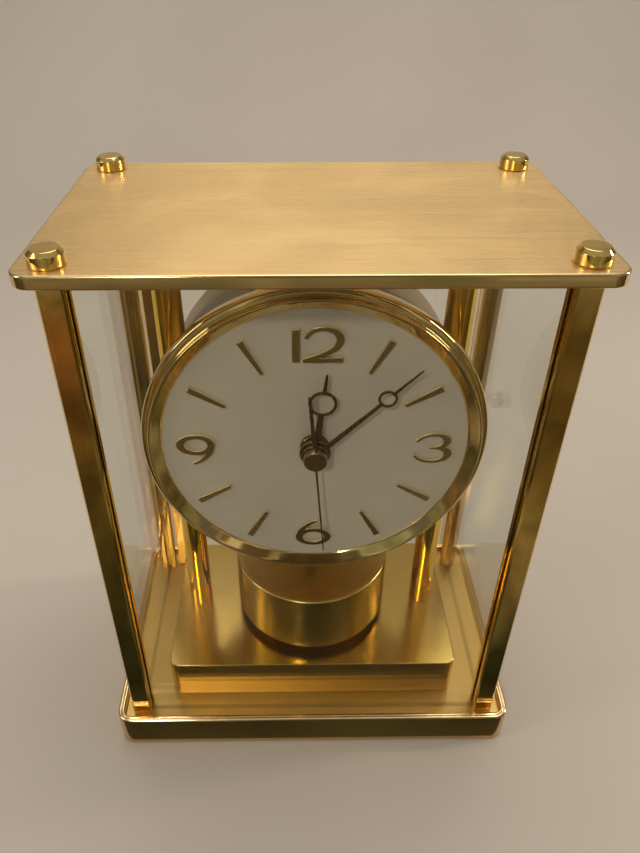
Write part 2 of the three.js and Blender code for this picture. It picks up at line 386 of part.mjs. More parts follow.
// ---------------------------------------------------------------- rotating pendulum and its drive
{
  const z0 = DIAL_Z - 53.0, z1 = DIAL_Z - 31.0;
  let s = cut(boxAt(-16, 16, SPINE_Y - 13, SPINE_Y + 13, z0, z1), boxAt(-14.6, 14.6, SPINE_Y - 11.6, SPINE_Y + 11.6, z0 + 1.4, z1 + 2),
    cylZ(0, SPINE_Y, z0 - 2, z0 + 4, 1.58, 24));
  put('pendulum_drive_case', s, M.black());
  put('pendulum_drive_coil', cut(cylZ(0, SPINE_Y, z0 + 1.5, z0 + 8.0, 10.5, 32), cylZ(0, SPINE_Y, z0 - 1, z0 + 12, 6.2, 32)), M.copper());
  // stem with the drive magnet on top, a collar that hangs on the case floor, and a foot on the drum's crown
  const zc = PEND_Z1 - PEND_RECESS + 0.1;
  put('pendulum_stem', join(cylZ(0, SPINE_Y, zc, z0 + 10, 1.5, 24), cylZ(0, SPINE_Y, z0 + 1.6, z0 + 3.0, 3.2, 24),
    cylZ(0, SPINE_Y, z0 + 9.9, z0 + 14.5, 7.5, 28), cylZ(0, SPINE_Y, zc, zc + 5.0, 4.0, 28)), M.polished());
}
{
  // spun drum: closed crown a little below a turned rim, thin wall, open underneath
  const R = PEND_R, z0 = PEND_Z0, z1 = PEND_Z1, w = PEND_WALL, c = PEND_Z1 - PEND_RECESS;
  put('pendulum_drum', turnZ(0, SPINE_Y, [[0, c - PEND_CROWN], [R - w, c - PEND_CROWN], [R - w, z0 + 0.3], [R - w + 0.3, z0], [R - 0.7, z0], [R, z0 + 0.7],
    [R, z1 - 0.5], [R - 0.5, z1], [R - w + 0.4, z1], [R - w, z1 - 0.4], [R - w, c], [0, c]], 80), M.polished());
}

export default root;
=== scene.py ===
import bpy, bmesh, math, random
from mathutils import Vector, Matrix


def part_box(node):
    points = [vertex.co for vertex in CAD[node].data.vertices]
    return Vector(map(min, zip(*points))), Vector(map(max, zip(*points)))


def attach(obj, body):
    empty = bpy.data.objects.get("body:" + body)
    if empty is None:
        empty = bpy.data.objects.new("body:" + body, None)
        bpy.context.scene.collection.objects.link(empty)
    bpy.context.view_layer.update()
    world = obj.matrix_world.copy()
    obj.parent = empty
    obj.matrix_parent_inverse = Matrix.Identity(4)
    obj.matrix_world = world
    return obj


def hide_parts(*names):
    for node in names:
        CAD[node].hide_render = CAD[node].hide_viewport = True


# Anniversary clock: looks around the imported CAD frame. All lengths below are in mm and turn into metres in mesh().
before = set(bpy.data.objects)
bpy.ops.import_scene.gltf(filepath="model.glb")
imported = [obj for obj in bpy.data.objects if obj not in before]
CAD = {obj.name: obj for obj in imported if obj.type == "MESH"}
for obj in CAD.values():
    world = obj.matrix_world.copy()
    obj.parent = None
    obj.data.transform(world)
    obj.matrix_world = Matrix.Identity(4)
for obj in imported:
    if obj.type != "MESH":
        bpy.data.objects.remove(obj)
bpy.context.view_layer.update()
S = 0.001
EXPOSURE = 0.0


def bx(node):
    lo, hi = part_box(node)
    return [v / S for v in lo], [v / S for v in hi]


# ------------------------------------------------------------------ materials
class NT:
    """Small helper for node trees."""

    def __init__(self, name):
        self.m = bpy.data.materials.new(name)
        self.m.use_nodes = True
        self.t = self.m.node_tree
        self.t.nodes.clear()
        self.out = self.t.nodes.new("ShaderNodeOutputMaterial")

    def n(self, kind, **kw):
        nd = self.t.nodes.new(kind)
        for k, v in kw.items():
            setattr(nd, k, v)
        return nd

    def l(self, a, b):
        self.t.links.new(a, b)

    def coords(self, scale=(1, 1, 1), rot=(0, 0, 0)):
        tc = self.n("ShaderNodeTexCoord")
        mp = self.n("ShaderNodeMapping")
        mp.inputs["Scale"].default_value = scale
        mp.inputs["Rotation"].default_value = rot
        self.l(tc.outputs["Object"], mp.inputs["Vector"])
        return mp.outputs["Vector"]

    def noise(self, vec, scale=1.0, detail=2.0, rough=0.5, dist=0.0):
        nd = self.n("ShaderNodeTexNoise")
        nd.inputs["Scale"].default_value = scale
        nd.inputs["Detail"].default_value = detail
        nd.inputs["Roughness"].default_value = rough
        nd.inputs["Distortion"].default_value = dist
        self.l(vec, nd.inputs["Vector"])
        return nd.outputs["Fac"]

    def range(self, fac, a, b, c, d):
        nd = self.n("ShaderNodeMapRange")
        nd.inputs["From Min"].default_value = a
        nd.inputs["From Max"].default_value = b
        nd.inputs["To Min"].default_value = c
        nd.inputs["To Max"].default_value = d
        self.l(fac, nd.inputs["Value"])
        return nd.outputs["Result"]

    def math(self, op, a, b):
        nd = self.n("ShaderNodeMath", operation=op)
        for i, v in enumerate((a, b)):
            if isinstance(v, (int, float)):
                nd.inputs[i].default_value = v
            else:
                self.l(v, nd.inputs[i])
        return nd.outputs[0]

    def mix(self, fac, c0, c1):
        nd = self.n("ShaderNodeMix", data_type="RGBA")
        for name, v in (("A", c0), ("B", c1)):
            sock = [s for s in nd.inputs if s.name == name and s.type == "RGBA"][0]
            if isinstance(v, tuple):
                sock.default_value = (*v[:3], 1)
            else:
                self.l(v, sock)
        f = [s for s in nd.inputs if s.name == "Factor" and s.type == "VALUE"][0]
        if isinstance(fac, (int, float)):
            f.default_value = fac
        else:
            self.l(fac, f)
        return [s for s in nd.outputs if s.type == "RGBA"][0]

    def bump(self, height, strength=0.2, dist=0.0001, normal=None):
        nd = self.n("ShaderNodeBump")
        nd.inputs["Strength"].default_value = strength
        nd.inputs["Distance"].default_value = dist
        self.l(height, nd.inputs["Height"])
        if normal is not None:
            self.l(normal, nd.inputs["Normal"])
        return nd.outputs["Normal"]

    def bsdf(self, **kw):
        p = self.n("ShaderNodeBsdfPrincipled")
        names = {"color": "Base Color", "rough": "Roughness", "metal": "Metallic", "normal": "Normal", "coat": "Coat Weight",
                 "coat_rough": "Coat Roughness", "aniso": "Anisotropic", "rot": "Anisotropic Rotation", "tangent": "Tangent", "ior": "IOR",
                 "spec": "Specular IOR Level", "sheen": "Sheen Weight", "coat_normal": "Coat Normal", "coat_tint": "Coat Tint"}
        for k, v in kw.items():
            sock = p.inputs[names[k]]
            if isinstance(v, tuple):
                sock.default_value = (*v[:3], 1) if sock.type == "RGBA" else v
            elif isinstance(v, (int, float)):
                sock.default_value = v
            else:
                self.l(v, sock)
        return p

    def done(self, shader):
        self.l(shader.outputs[0] if hasattr(shader, "outputs") else shader, self.out.inputs["Surface"])
        return self.m

    def vec(self, v):
        nd = self.n("ShaderNodeCombineXYZ")
        for i in range(3):
            nd.inputs[i].default_value = v[i]
        return nd.outputs[0]

    def facing(self, axis, lo=0.9, hi=0.97):
        """1 where the surface looks along axis, in the object's own frame."""
        tc = self.n("ShaderNodeTexCoord")
        d = self.n("ShaderNodeVectorMath", operation="DOT_PRODUCT")
        self.l(tc.outputs["Normal"], d.inputs[0])
        d.inputs[1].default_value = axis
        return self.range(d.outputs["Value"], lo, hi, 0.0, 1.0)


def smudges(t, scale=22, lo=0.42, hi=0.72):
    """Broad patches where handling has dulled the lacquer."""
    v = t.coords((1, 1, 1))
    return t.range(t.noise(v, scale, 3.0, 0.6, 0.6), lo, hi, 0.0, 1.0)


def satin_brass(name, light, dark, along="X", rough=(0.27, 0.42), aniso=0.72, coat=0.3, streak=1.0, edge=None):
    """Straight-grained brushed brass under lacquer. along is the grain; edges that look sideways may take a polished finish."""
    t = NT(name)
    fine = {"X": (34, 2100, 2100), "Y": (2100, 34, 2100), "Z": (2100, 2100, 34)}[along]
    mid = {"X": (16, 620, 620), "Y": (620, 16, 620), "Z": (620, 620, 16)}[along]
    wide = {"X": (5, 150, 150), "Y": (150, 5, 150), "Z": (150, 150, 5)}[along]
    n1 = t.noise(t.coords(fine), 1.0, 3.0, 0.65)
    n2 = t.noise(t.coords(mid), 1.0, 4.0, 0.6)
    n3 = t.noise(t.coords(wide), 1.0, 2.0, 0.5)
    grain = t.math("ADD", t.math("MULTIPLY", n1, 0.4), t.math("ADD", t.math("MULTIPLY", n2, 0.45), t.math("MULTIPLY", n3, 0.15)))
    g = t.range(grain, 0.38, 0.62, 0.0, 1.0)
    sm = smudges(t)
    col = t.mix(g, dark, light)
    col = t.mix(t.math("MULTIPLY", sm, 0.10), col, tuple(0.8 * c for c in light))
    r = t.math("ADD", t.range(grain, 0.35, 0.65, rough[1], rough[0]), t.math("MULTIPLY", sm, 0.05))
    nrm = t.bump(grain, 0.16 * streak, 0.00012)
    tan = {"X": (0, 1, 0), "Y": (1, 0, 0), "Z": (1, 0, 0)}[along]
    p = t.bsdf(color=col, metal=1.0, rough=r, aniso=aniso, tangent=t.vec(tan), normal=nrm, coat=coat, coat_rough=0.12)
    if edge is None:
        return t.done(p)
    up = t.facing((0, 0, 1), 0.72, 0.9)
    scr = t.noise(t.coords((18, 18, 900)), 1.0, 2.0, 0.5)
    q = t.bsdf(color=edge, metal=1.0, rough=t.range(scr, 0.35, 0.65, 0.09, 0.17), normal=t.bump(scr, 0.03, 0.00005), coat=0.3, coat_rough=0.06)
    mx = t.n("ShaderNodeMixShader")
    t.l(up, mx.inputs[0])
    t.l(q.outputs[0], mx.inputs[1])
    t.l(p.outputs[0], mx.inputs[2])
    return t.done(mx)


def polished_brass(name, color, deep, rough=(0.045, 0.11), wave=0.06, grain=None, coat=0.35, aniso=0.0, tangent=None):
    """Lacquered mirror brass: faint polishing lines, slow waviness and dull patches."""
    t = NT(name)
    sm = smudges(t, 38, 0.45, 0.75)
    hair = t.noise(t.coords(grain or (260, 260, 260)), 1.0, 3.0, 0.7, 0.3)
    slow = t.noise(t.coords((26, 26, 26)), 1.0, 1.0, 0.4)
    col = t.mix(t.range(hair, 0.3, 0.7, 0.0, 1.0), color, deep)
    r = t.math("ADD", t.range(hair, 0.35, 0.65, rough[0], rough[1]), t.math("MULTIPLY", sm, 0.045))
    nrm = t.bump(slow, wave, 0.004)
    nrm = t.bump(hair, 0.035, 0.00006, nrm)
    kw = dict(color=col, metal=1.0, rough=r, normal=nrm, coat=coat, coat_rough=0.05)
    if aniso:
        kw.update(aniso=aniso, tangent=tangent)
    return t.done(t.bsdf(**kw))




def fine_satin(name, light, dark, top_rough, side_rough):
    """Soft-lapped brass: a hair-fine grain on the upward faces, near-mirror sides."""
    t = NT(name)
    hair = t.noise(t.coords((60, 4200, 4200)), 1.0, 2.0, 0.6)
    cloud = t.noise(t.coords((1, 1, 1)), 30, 3.0, 0.55)
    sm = smudges(t, 34, 0.46, 0.74)
    up = t.facing((0, 0, 1), 0.7, 0.9)
    col = t.mix(t.range(t.math("ADD", t.math("MULTIPLY", hair, 0.5), t.math("MULTIPLY", cloud, 0.5)), 0.35, 0.65, 0.0, 1.0), light, dark)
    top = t.range(hair, 0.3, 0.7, top_rough[0], top_rough[1])
    side = t.range(hair, 0.3, 0.7, side_rough[0], side_rough[1])
    rr = t.math("ADD", t.math("MULTIPLY", top, up), t.math("MULTIPLY", side, t.math("SUBTRACT", 1.0, up)))
    rr = t.math("ADD", rr, t.math("MULTIPLY", sm, 0.04))
    nrm = t.bump(hair, 0.04, 0.00004)
    return t.done(t.bsdf(color=col, metal=1.0, rough=rr, normal=nrm, coat=0.22, coat_rough=0.1))


M = {}
M["top"] = satin_brass("satin_brass_top", (0.93, 0.70, 0.36), (0.60, 0.42, 0.175), "X", (0.28, 0.48), 0.6, 0.1, 2.2, edge=(0.80, 0.58, 0.27))
M["tray"] = fine_satin("satin_brass_tray", (0.73, 0.50, 0.175), (0.67, 0.445, 0.145), (0.34, 0.43), (0.12, 0.17))
M["plinth"] = fine_satin("satin_brass_plinth", (0.85, 0.61, 0.19), (0.80, 0.555, 0.155), (0.17, 0.22), (0.03, 0.05))
# the lip's paler, creamier brass colour than the tray is a painted highlight
M["lip"] = polished_brass("polished_brass_lip_painted_highlight", (0.95, 0.77, 0.46), (0.88, 0.68, 0.37), (0.10, 0.16), 0.01)
M["pillar"] = polished_brass("polished_brass_pillar", (0.84, 0.60, 0.21), (0.75, 0.51, 0.15), (0.035, 0.075), 0.008, (900, 900, 14), 0.15)
M["post"] = polished_brass("polished_brass_post", (0.95, 0.64, 0.065), (0.88, 0.56, 0.045), (0.03, 0.07), 0.008, (700, 700, 9), 0.0)
M["nut"] = polished_brass("polished_brass_nut", (0.96, 0.73, 0.25), (0.88, 0.62, 0.17), (0.05, 0.10), 0.012, (300, 300, 900))
M["bezel"] = polished_brass("polished_brass_bezel", (0.92, 0.71, 0.31), (0.84, 0.62, 0.24), (0.03, 0.06), 0.03, (90, 1400, 90))


def spun_brass():
    """Turned drum: fine hoops round the axis, so highlights draw out along it."""
    t = NT("spun_brass_drum")
    hoops = t.noise(t.coords((2.5, 2.5, 2600)), 1.0, 3.0, 0.6)
    soft = t.noise(t.coords((9, 9, 200)), 1.0, 2.0, 0.5)
    sm = smudges(t, 30, 0.45, 0.75)
    col = t.mix(t.range(hoops, 0.35, 0.65, 0.0, 1.0), (0.80, 0.55, 0.18), (0.85, 0.60, 0.21))
    r = t.math("ADD", t.range(hoops, 0.35, 0.65, 0.20, 0.225), t.math("MULTIPLY", sm, 0.04))
    nrm = t.bump(t.math("ADD", hoops, t.math("MULTIPLY", soft, 0.5)), 0.008, 0.00006)
    # the wall's brass is mixed 72% toward deep brown: painted shade
    wall = t.bsdf(color=t.mix(0.72, col, (0.42, 0.285, 0.028)), metal=1.0, rough=r, aniso=1.0, tangent=t.vec((0, 0, 1)), normal=nrm, coat=0.10, coat_rough=0.05)
    # the crown and the rim are faced on the lathe instead: fine rings, softer sheen; the rim's pale cream-gold colour
    # is a painted highlight
    crown = t.bsdf(color=(0.84, 0.62, 0.22), metal=1.0, rough=t.range(hoops, 0.3, 0.7, 0.22, 0.30), normal=nrm, coat=0.15, coat_rough=0.1)
    rim = t.bsdf(color=(1.0, 0.84, 0.50), metal=1.0, rough=t.range(hoops, 0.3, 0.7, 0.30, 0.38), normal=nrm, coat=0.2, coat_rough=0.1)
    sep = t.n("ShaderNodeSeparateXYZ")
    t.l(t.coords((1, 1, 1)), sep.inputs[0])
    faced = t.n("ShaderNodeMixShader")
    t.l(t.range(sep.outputs["Z"], bx("pendulum_drum")[1][2] - 0.0006, bx("pendulum_drum")[1][2] - 0.0004, 0.0, 1.0), faced.inputs[0])
    t.l(crown.outputs[0], faced.inputs[1])
    t.l(rim.outputs[0], faced.inputs[2])
    mx = t.n("ShaderNodeMixShader")
    t.l(t.facing((0, 0, 1), 0.35, 0.6), mx.inputs[0])
    t.l(wall.outputs[0], mx.inputs[1])
    t.l(faced.outputs[0], mx.inputs[2])
    return t.done(mx)


M["drum"] = spun_brass()


def dial_lacquer():
    t = NT("dial_lacquer")
    v = t.coords((1, 1, 1))
    cloud = t.noise(v, 26, 3.0, 0.55)
    tooth = t.noise(v, 2600, 2.0, 0.6)
    fleck = t.n("ShaderNodeTexVoronoi")
    fleck.inputs["Scale"].default_value = 75
    t.l(v, fleck.inputs["Vector"])
    speck = t.range(fleck.outputs["Distance"], 0.018, 0.034, 1.0, 0.0)
    rare = t.range(t.noise(v, 31, 0.0, 0.0), 0.64, 0.66, 0.0, 1.0)
    # off-white lacquer, its colour darkened throughout as painted shade from the top plate
    col = t.mix(t.range(cloud, 0.3, 0.7, 0.0, 1.0), (0.57, 0.525, 0.435), (0.61, 0.565, 0.465))
    col = t.mix(t.math("MULTIPLY", t.math("MULTIPLY", speck, rare), 0.8), col, (0.10, 0.08, 0.05))
    r = t.range(cloud, 0.3, 0.7, 0.42, 0.52)
    return t.done(t.bsdf(color=col, rough=r, normal=t.bump(tooth, 0.06, 0.00003), spec=0.45, coat=0.08, coat_rough=0.35))


M["dial"] = dial_lacquer()


def gilt_mark():
    """Applied figure: brushed face in a darkened gold as painted shade, and sides in pale cream as a painted highlight.
    """
    t = NT("gilt_hour_mark")
    g = t.noise(t.coords((400, 900, 5200)), 1.0, 2.0, 0.6)
    # face colour darkened below the gilt as painted shade
    face = t.bsdf(color=t.mix(t.range(g, 0.35, 0.65, 0, 1), (0.50, 0.36, 0.16), (0.56, 0.41, 0.19)), metal=1.0, rough=t.range(g, 0.3, 0.7, 0.26, 0.34),
                  normal=t.bump(g, 0.03, 0.00004), aniso=0.4, tangent=t.vec((0, 0, 1)), coat=0.2, coat_rough=0.1)
    # pale cream side colour is a painted highlight
    side = t.bsdf(color=t.mix(t.range(g, 0.35, 0.65, 0, 1), (1.0, 0.90, 0.64), (0.96, 0.84, 0.55)), metal=1.0, rough=0.34)
    mx = t.n("ShaderNodeMixShader")
    t.l(t.facing((0, -1, 0), 0.8, 0.95), mx.inputs[0])
    t.l(side.outputs[0], mx.inputs[1])
    t.l(face.outputs[0], mx.inputs[2])
    return t.done(mx)


M["mark"] = gilt_mark()


def bronze(name, rough=(0.24, 0.36), base=((0.20, 0.135, 0.05), (0.30, 0.21, 0.085))):
    t = NT(name)
    g = t.noise(t.coords((3200, 3200, 300)), 1.0, 2.0, 0.5)
    sp = t.noise(t.coords((1, 1, 1)), 900, 2.0, 0.5)
    col = t.mix(t.range(g, 0.35, 0.65, 0, 1), base[0], base[1])
    return t.done(t.bsdf(color=col, metal=1.0, rough=t.range(sp, 0.3, 0.7, rough[0], rough[1]), normal=t.bump(g, 0.03, 0.00003), coat=0.15, coat_rough=0.1))


M["hand"] = bronze("bronze_hand")
M["cap"] = bronze("bronze_centre_cap", (0.18, 0.28), ((0.26, 0.19, 0.08), (0.36, 0.27, 0.12)))


def enamel():
    t = NT("champagne_enamel")
    v = t.coords((1, 1, 1))
    peel = t.noise(v, 900, 2.0, 0.5)
    cloud = t.noise(v, 20, 2.0, 0.5)
    col = t.mix(t.range(cloud, 0.3, 0.7, 0, 1), (0.445, 0.345, 0.20), (0.50, 0.385, 0.23))
    return t.done(t.bsdf(color=col, rough=t.range(peel, 0.3, 0.7, 0.30, 0.42), normal=t.bump(peel, 0.10, 0.00005), coat=0.15, coat_rough=0.2, spec=0.5))


M["enamel"] = enamel()


def pane_glass():
    """Clear thin pane that lets lamps through: fresnel reflections, a trace of dust, greener arrises."""
    t = NT("case_glass")
    v = t.coords((1, 1, 1))
    fr = t.n("ShaderNodeFresnel")
    geo = t.n("ShaderNodeNewGeometry")
    # the same reflectance from either side, as the pane is one thin sheet
    t.l(t.range(geo.outputs["Backfacing"], 0, 1, 1.5, 1 / 1.5), fr.inputs["IOR"])
    wav = t.bump(t.noise(v, 9, 1.0, 0.4), 0.02, 0.004)
    t.l(wav, fr.inputs["Normal"])
    tr = t.n("ShaderNodeBsdfTransparent")
    tr.inputs["Color"].default_value = (0.978, 0.984, 0.974, 1)
    gl = t.n("ShaderNodeBsdfGlossy")
    gl.inputs["Color"].default_value = (0.95, 0.97, 0.95, 1)
    film = t.noise(v, 14, 4.0, 0.7, 0.8)
    t.l(t.range(film, 0.35, 0.75, 0.015, 0.07), gl.inputs["Roughness"])
    t.l(wav, gl.inputs["Normal"])
    mx = t.n("ShaderNodeMixShader")
    t.l(t.math("MULTIPLY", fr.outputs[0], 0.85), mx.inputs[0])
    t.l(tr.outputs[0], mx.inputs[1])
    t.l(gl.outputs[0], mx.inputs[2])
    dust = t.n("ShaderNodeBsdfDiffuse")
    dust.inputs["Color"].default_value = (0.8, 0.78, 0.72, 1)
    vo = t.n("ShaderNodeTexVoronoi")
    vo.inputs["Scale"].default_value = 420
    t.l(v, vo.inputs["Vector"])
    d1 = t.range(vo.outputs["Distance"], 0.03, 0.11, 1.0, 0.0)
    d2 = t.range(t.noise(v, 60, 2.0, 0.5), 0.56, 0.72, 0.0, 1.0)
    haze = t.range(film, 0.4, 0.8, 0.0, 0.012)
    amt = t.math("ADD", t.math("MULTIPLY", t.math("MULTIPLY", d1, d2), 0.28), haze)
    m2 = t.n("ShaderNodeMixShader")
    t.l(amt, m2.inputs[0])
    t.l(mx.outputs[0], m2.inputs[1])
    t.l(dust.outputs[0], m2.inputs[2])
    return t.done(m2)


def edge_glass():
    t = NT("glass_ground_edge")
    g = t.noise(t.coords((1500, 1500, 1500)), 1.0, 2.0, 0.6)
    tr = t.n("ShaderNodeBsdfTransparent")
    tr.inputs["Color"].default_value = (0.90, 0.89, 0.78, 1)
    p = t.bsdf(color=(0.33, 0.31, 0.18), rough=t.range(g, 0.3, 0.7, 0.22, 0.4), spec=0.6, normal=t.bump(g, 0.1, 0.00004))
    mx = t.n("ShaderNodeMixShader")
    mx.inputs[0].default_value = 0.14
    t.l(tr.outputs[0], mx.inputs[1])
    t.l(p.outputs[0], mx.inputs[2])
    return t.done(mx)


M["glass"] = pane_glass()
M["glass_edge"] = edge_glass()


def felt():
    t = NT("felt_underside")
    v = t.coords((1, 1, 1))
    f1 = t.noise(v, 1800, 4.0, 0.8, 0.5)
    f2 = t.noise(v, 160, 3.0, 0.6)
    col = t.mix(t.range(f1, 0.3, 0.7, 0, 1), (0.012, 0.020, 0.012), (0.035, 0.05, 0.032))
    col = t.mix(t.range(f2, 0.35, 0.75, 0, 0.4), col, (0.05, 0.06, 0.045))
    return t.done(t.bsdf(color=col, rough=0.95, normal=t.bump(f1, 0.6, 0.0004), sheen=0.4, spec=0.15))


M["felt"] = felt()


def plastic(name, a, b, rough=(0.42, 0.55), scale=2200, strength=0.18, metal=0.0):
    t = NT(name)
    v = t.coords((1, 1, 1))
    tex = t.noise(v, scale, 2.0, 0.5)
    cl = t.noise(v, 45, 2.0, 0.5)
    col = t.mix(t.range(cl, 0.3, 0.7, 0, 1), a, b)
    return t.done(t.bsdf(color=col, rough=t.range(tex, 0.3, 0.7, rough[0], rough[1]), metal=metal, normal=t.bump(tex, strength, 0.00006)))


M["black"] = plastic("black_moulding", (0.012, 0.012, 0.013), (0.02, 0.02, 0.021))
M["resin"] = plastic("acetal_wheel", (0.66, 0.58, 0.40), (0.74, 0.66, 0.47), (0.3, 0.42), 900, 0.05)
M["board"] = plastic("solder_resist", (0.02, 0.10, 0.045), (0.03, 0.14, 0.06), (0.2, 0.32), 300, 0.08)
M["cell"] = plastic("cell_sleeve", (0.05, 0.13, 0.26), (0.06, 0.17, 0.33), (0.2, 0.3), 500, 0.05)
M["steel"] = plastic("turned_steel", (0.50, 0.51, 0.53), (0.60, 0.61, 0.63), (0.18, 0.3), 1400, 0.08, 1.0)


def copper():
    t = NT("wound_copper")
    w = t.n("ShaderNodeTexWave")
    w.bands_direction = "X"
    w.inputs["Scale"].default_value = 1300
    w.inputs["Distortion"].default_value = 0.4
    t.l(t.coords((1, 1, 1)), w.inputs["Vector"])
    col = t.mix(w.outputs["Fac"], (0.40, 0.13, 0.05), (0.72, 0.32, 0.14))
    return t.done(t.bsdf(color=col, metal=1.0, rough=0.3, normal=t.bump(w.outputs["Fac"], 0.5, 0.0001), coat=0.4, coat_rough=0.15))


M["copper"] = copper()


# ------------------------------------------------------------------ mesh tools
def mesh(name, verts, faces, mat, body, slot, nodes=(), sharp=32, bevel=0.0, seg=2, mats=None, pick=None, weighted=True, ride=True):
    me = bpy.data.meshes.new(name)
    me.from_pydata([(x * S, y * S, z * S) for x, y, z in verts], [], faces)
    bm = bmesh.new()
    bm.from_mesh(me)
    bmesh.ops.remove_doubles(bm, verts=bm.verts, dist=1e-7)
    bmesh.ops.recalc_face_normals(bm, faces=bm.faces)
    bm.to_mesh(me)
    bm.free()
    ob = bpy.data.objects.new(name, me)
    bpy.context.scene.collection.objects.link(ob)
    return dress(ob, mat, body, nodes, sharp, bevel, seg, mats, pick, weighted, ride)


def dress(ob, mat, body, nodes=(), sharp=32, bevel=0.0, seg=2, mats=None, pick=None, weighted=True, ride=True):
    me = ob.data
    me.materials.clear()
    for m in mats or [mat]:
        me.materials.append(m)
    for p in me.polygons:
        p.use_smooth = True
        p.material_index = pick(p) if pick else 0
    me.set_sharp_from_angle(angle=math.radians(sharp))
    if bevel:
        b = ob.modifiers.new("edge", "BEVEL")
        b.width = bevel * S
        b.segments = seg
        b.limit_method = "ANGLE"
        b.angle_limit = math.radians(30)
        b.harden_normals = False
        b.miter_outer = "MITER_ARC"
    if weighted:
        w = ob.modifiers.new("flat", "WEIGHTED_NORMAL")
        w.weight = 60
        w.keep_sharp = not bevel
    if ride:
        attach(ob, body)
        if nodes:
            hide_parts(*nodes)
    return ob


def rings(rr, cap0=True, cap1=True, closed=False):
    """Quads between successive rings of equal length; n-gon caps at the ends, or joined end to end."""
    n = len(rr[0])
    verts = [v for r in rr for v in r]
    faces = []
    k = len(rr)
    for j in range(k if closed else k - 1):
        a, b = j * n, ((j + 1) % k) * n
        for i in range(n):
            faces.append((a + i, a + (i + 1) % n, b + (i + 1) % n, b + i))
    if not closed and cap0:
        faces.append(tuple(range(n))[::-1])
    if not closed and cap1:
        faces.append(tuple(range((k - 1) * n, k * n)))
    return verts, faces


def rrect(hx, hy, r, n=10):
    r = max(r, 0.05)
    out = []
    for cx, cy, a0 in ((hx - r, hy - r, 0), (-hx + r, hy - r, 90), (-hx + r, -hy + r, 180), (hx - r, -hy + r, 270)):
        for i in range(n + 1):
            a = math.radians(a0 + 90 * i / n)
            out.append((cx + r * math.cos(a), cy + r * math.sin(a)))
    return out


def arc2(cx, cy, r, a0, a1, n=5):
    return [(cx + r * math.cos(math.radians(a0 + (a1 - a0) * i / n)), cy + r * math.sin(math.radians(a0 + (a1 - a0) * i / n))) for i in range(n + 1)]


def plan_sweep(profile, hx, hy, r, n=10):
    """profile of (inset, z) followed round a rounded rectangle."""
    return rings([[(x, y, z) for x, y in rrect(hx - i, hy - i, r - i, n)] for i, z in profile])


def lathe_z(profile, x, y, n=128, closed=False):
    rr = []
    for r, z in profile:
        rr.append([(x + max(r, 1e-4) * math.cos(2 * math.pi * i / n), y + max(r, 1e-4) * math.sin(2 * math.pi * i / n), z) for i in range(n)])
    return rings(rr, closed=closed)


def lathe_y(profile, x, z, n=128, closed=False):
    rr = []
    for r, y in profile:
        rr.append([(x + max(r, 1e-4) * math.sin(2 * math.pi * i / n), y, z + max(r, 1e-4) * math.cos(2 * math.pi * i / n)) for i in range(n)])
    return rings(rr, closed=closed)


def prism_z(outline, z0, z1):
    return rings([[(x, y, z0) for x, y in outline], [(x, y, z1) for x, y in outline]])


def boxv(x0, x1, y0, y1, z0, z1):
    return prism_z([(x0, y0), (x1, y0), (x1, y1), (x0, y1)], z0, z1)


def merge(*parts):
    verts, faces = [], []
    for v, f in parts:
        k = len(verts)
        verts += v
        faces += [tuple(i + k for i in q) for q in f]
    return verts, faces


def rounded_profile(points, radii, n=4):
    """Closed or open polyline with its corners rounded: points [(a, b)], radii per point, 0 leaves a corner sharp."""
    out = []
    k = len(points)
    for i, (p, r) in enumerate(zip(points, radii)):
        if r <= 0:
            out.append(p)
            continue
        a, b = Vector(points[(i - 1) % k]), Vector(points[(i + 1) % k])
        c = Vector(p)
        u, v = (a - c).normalized(), (b - c).normalized()
        ang = math.acos(max(-1, min(1, u.dot(v))))
        d = min(r / math.tan(ang / 2), (a - c).length * 0.49, (b - c).length * 0.49)
        rr = d * math.tan(ang / 2)
        s, e = c + u * d, c + v * d
        centre = c + (u + v).normalized() * (rr / math.sin(ang / 2))
        a0 = math.atan2(s.y - centre.y, s.x - centre.x)
        a1 = math.atan2(e.y - centre.y, e.x - centre.x)
        da = (a1 - a0 + math.pi) % (2 * math.pi) - math.pi
        for j in range(n + 1):
            t = a0 + da * j / n
            out.append((centre.x + rr * math.cos(t), centre.y + rr * math.sin(t)))
    return out


def boolean(ob, cutter, op="DIFFERENCE"):
    m = ob.modifiers.new("b", "BOOLEAN")
    m.operation = op
    m.solver = "EXACT"
    m.object = cutter
    dg = bpy.context.evaluated_depsgraph_get()
    me = bpy.data.meshes.new_from_object(ob.evaluated_get(dg))
    # join the seams the cut leaves, so the piece stays one closed skin
    bm = bmesh.new()
    bm.from_mesh(me)
    bmesh.ops.remove_doubles(bm, verts=bm.verts, dist=1e-7)
    bmesh.ops.dissolve_degenerate(bm, edges=bm.edges, dist=1e-7)
    bmesh.ops.holes_fill(bm, edges=[e for e in bm.edges if e.is_boundary], sides=0)
    bm.to_mesh(me)
    bm.free()
    ob.modifiers.clear()
    ob.data = me
    bpy.data.objects.remove(cutter)


def raw(name, vf):
    me = bpy.data.meshes.new(name)
    me.from_pydata([(x * S, y * S, z * S) for x, y, z in vf[0]], [], vf[1])
    bm = bmesh.new()
    bm.from_mesh(me)
    bmesh.ops.recalc_face_normals(bm, faces=bm.faces)
    bm.to_mesh(me)
    bm.free()
    ob = bpy.data.objects.new(name, me)
    bpy.context.scene.collection.objects.link(ob)
    return ob


# ------------------------------------------------------------------ base
lo, hi = bx("base_tray")
BW, BD, LIP_Z, TRAY0 = hi[0], hi[1], hi[2], lo[2]
FLOOR = 13.6
prof = [(2.6, 11.0), (2.6, TRAY0 + 0.25)] + [(2.35, TRAY0)] + [(0.9, TRAY0)] + [(0.9 - 0.9 * math.sin(math.radians(a)), TRAY0 + 0.9 - 0.9 * math.cos(math.radians(a))) for a in (18, 36, 54, 72, 90)]
prof += [(0.0, LIP_Z - 0.85)] + [(0.85 - 0.85 * math.cos(math.radians(a)), LIP_Z - 0.85 + 0.85 * math.sin(math.radians(a))) for a in (18, 36, 54, 72, 86)]
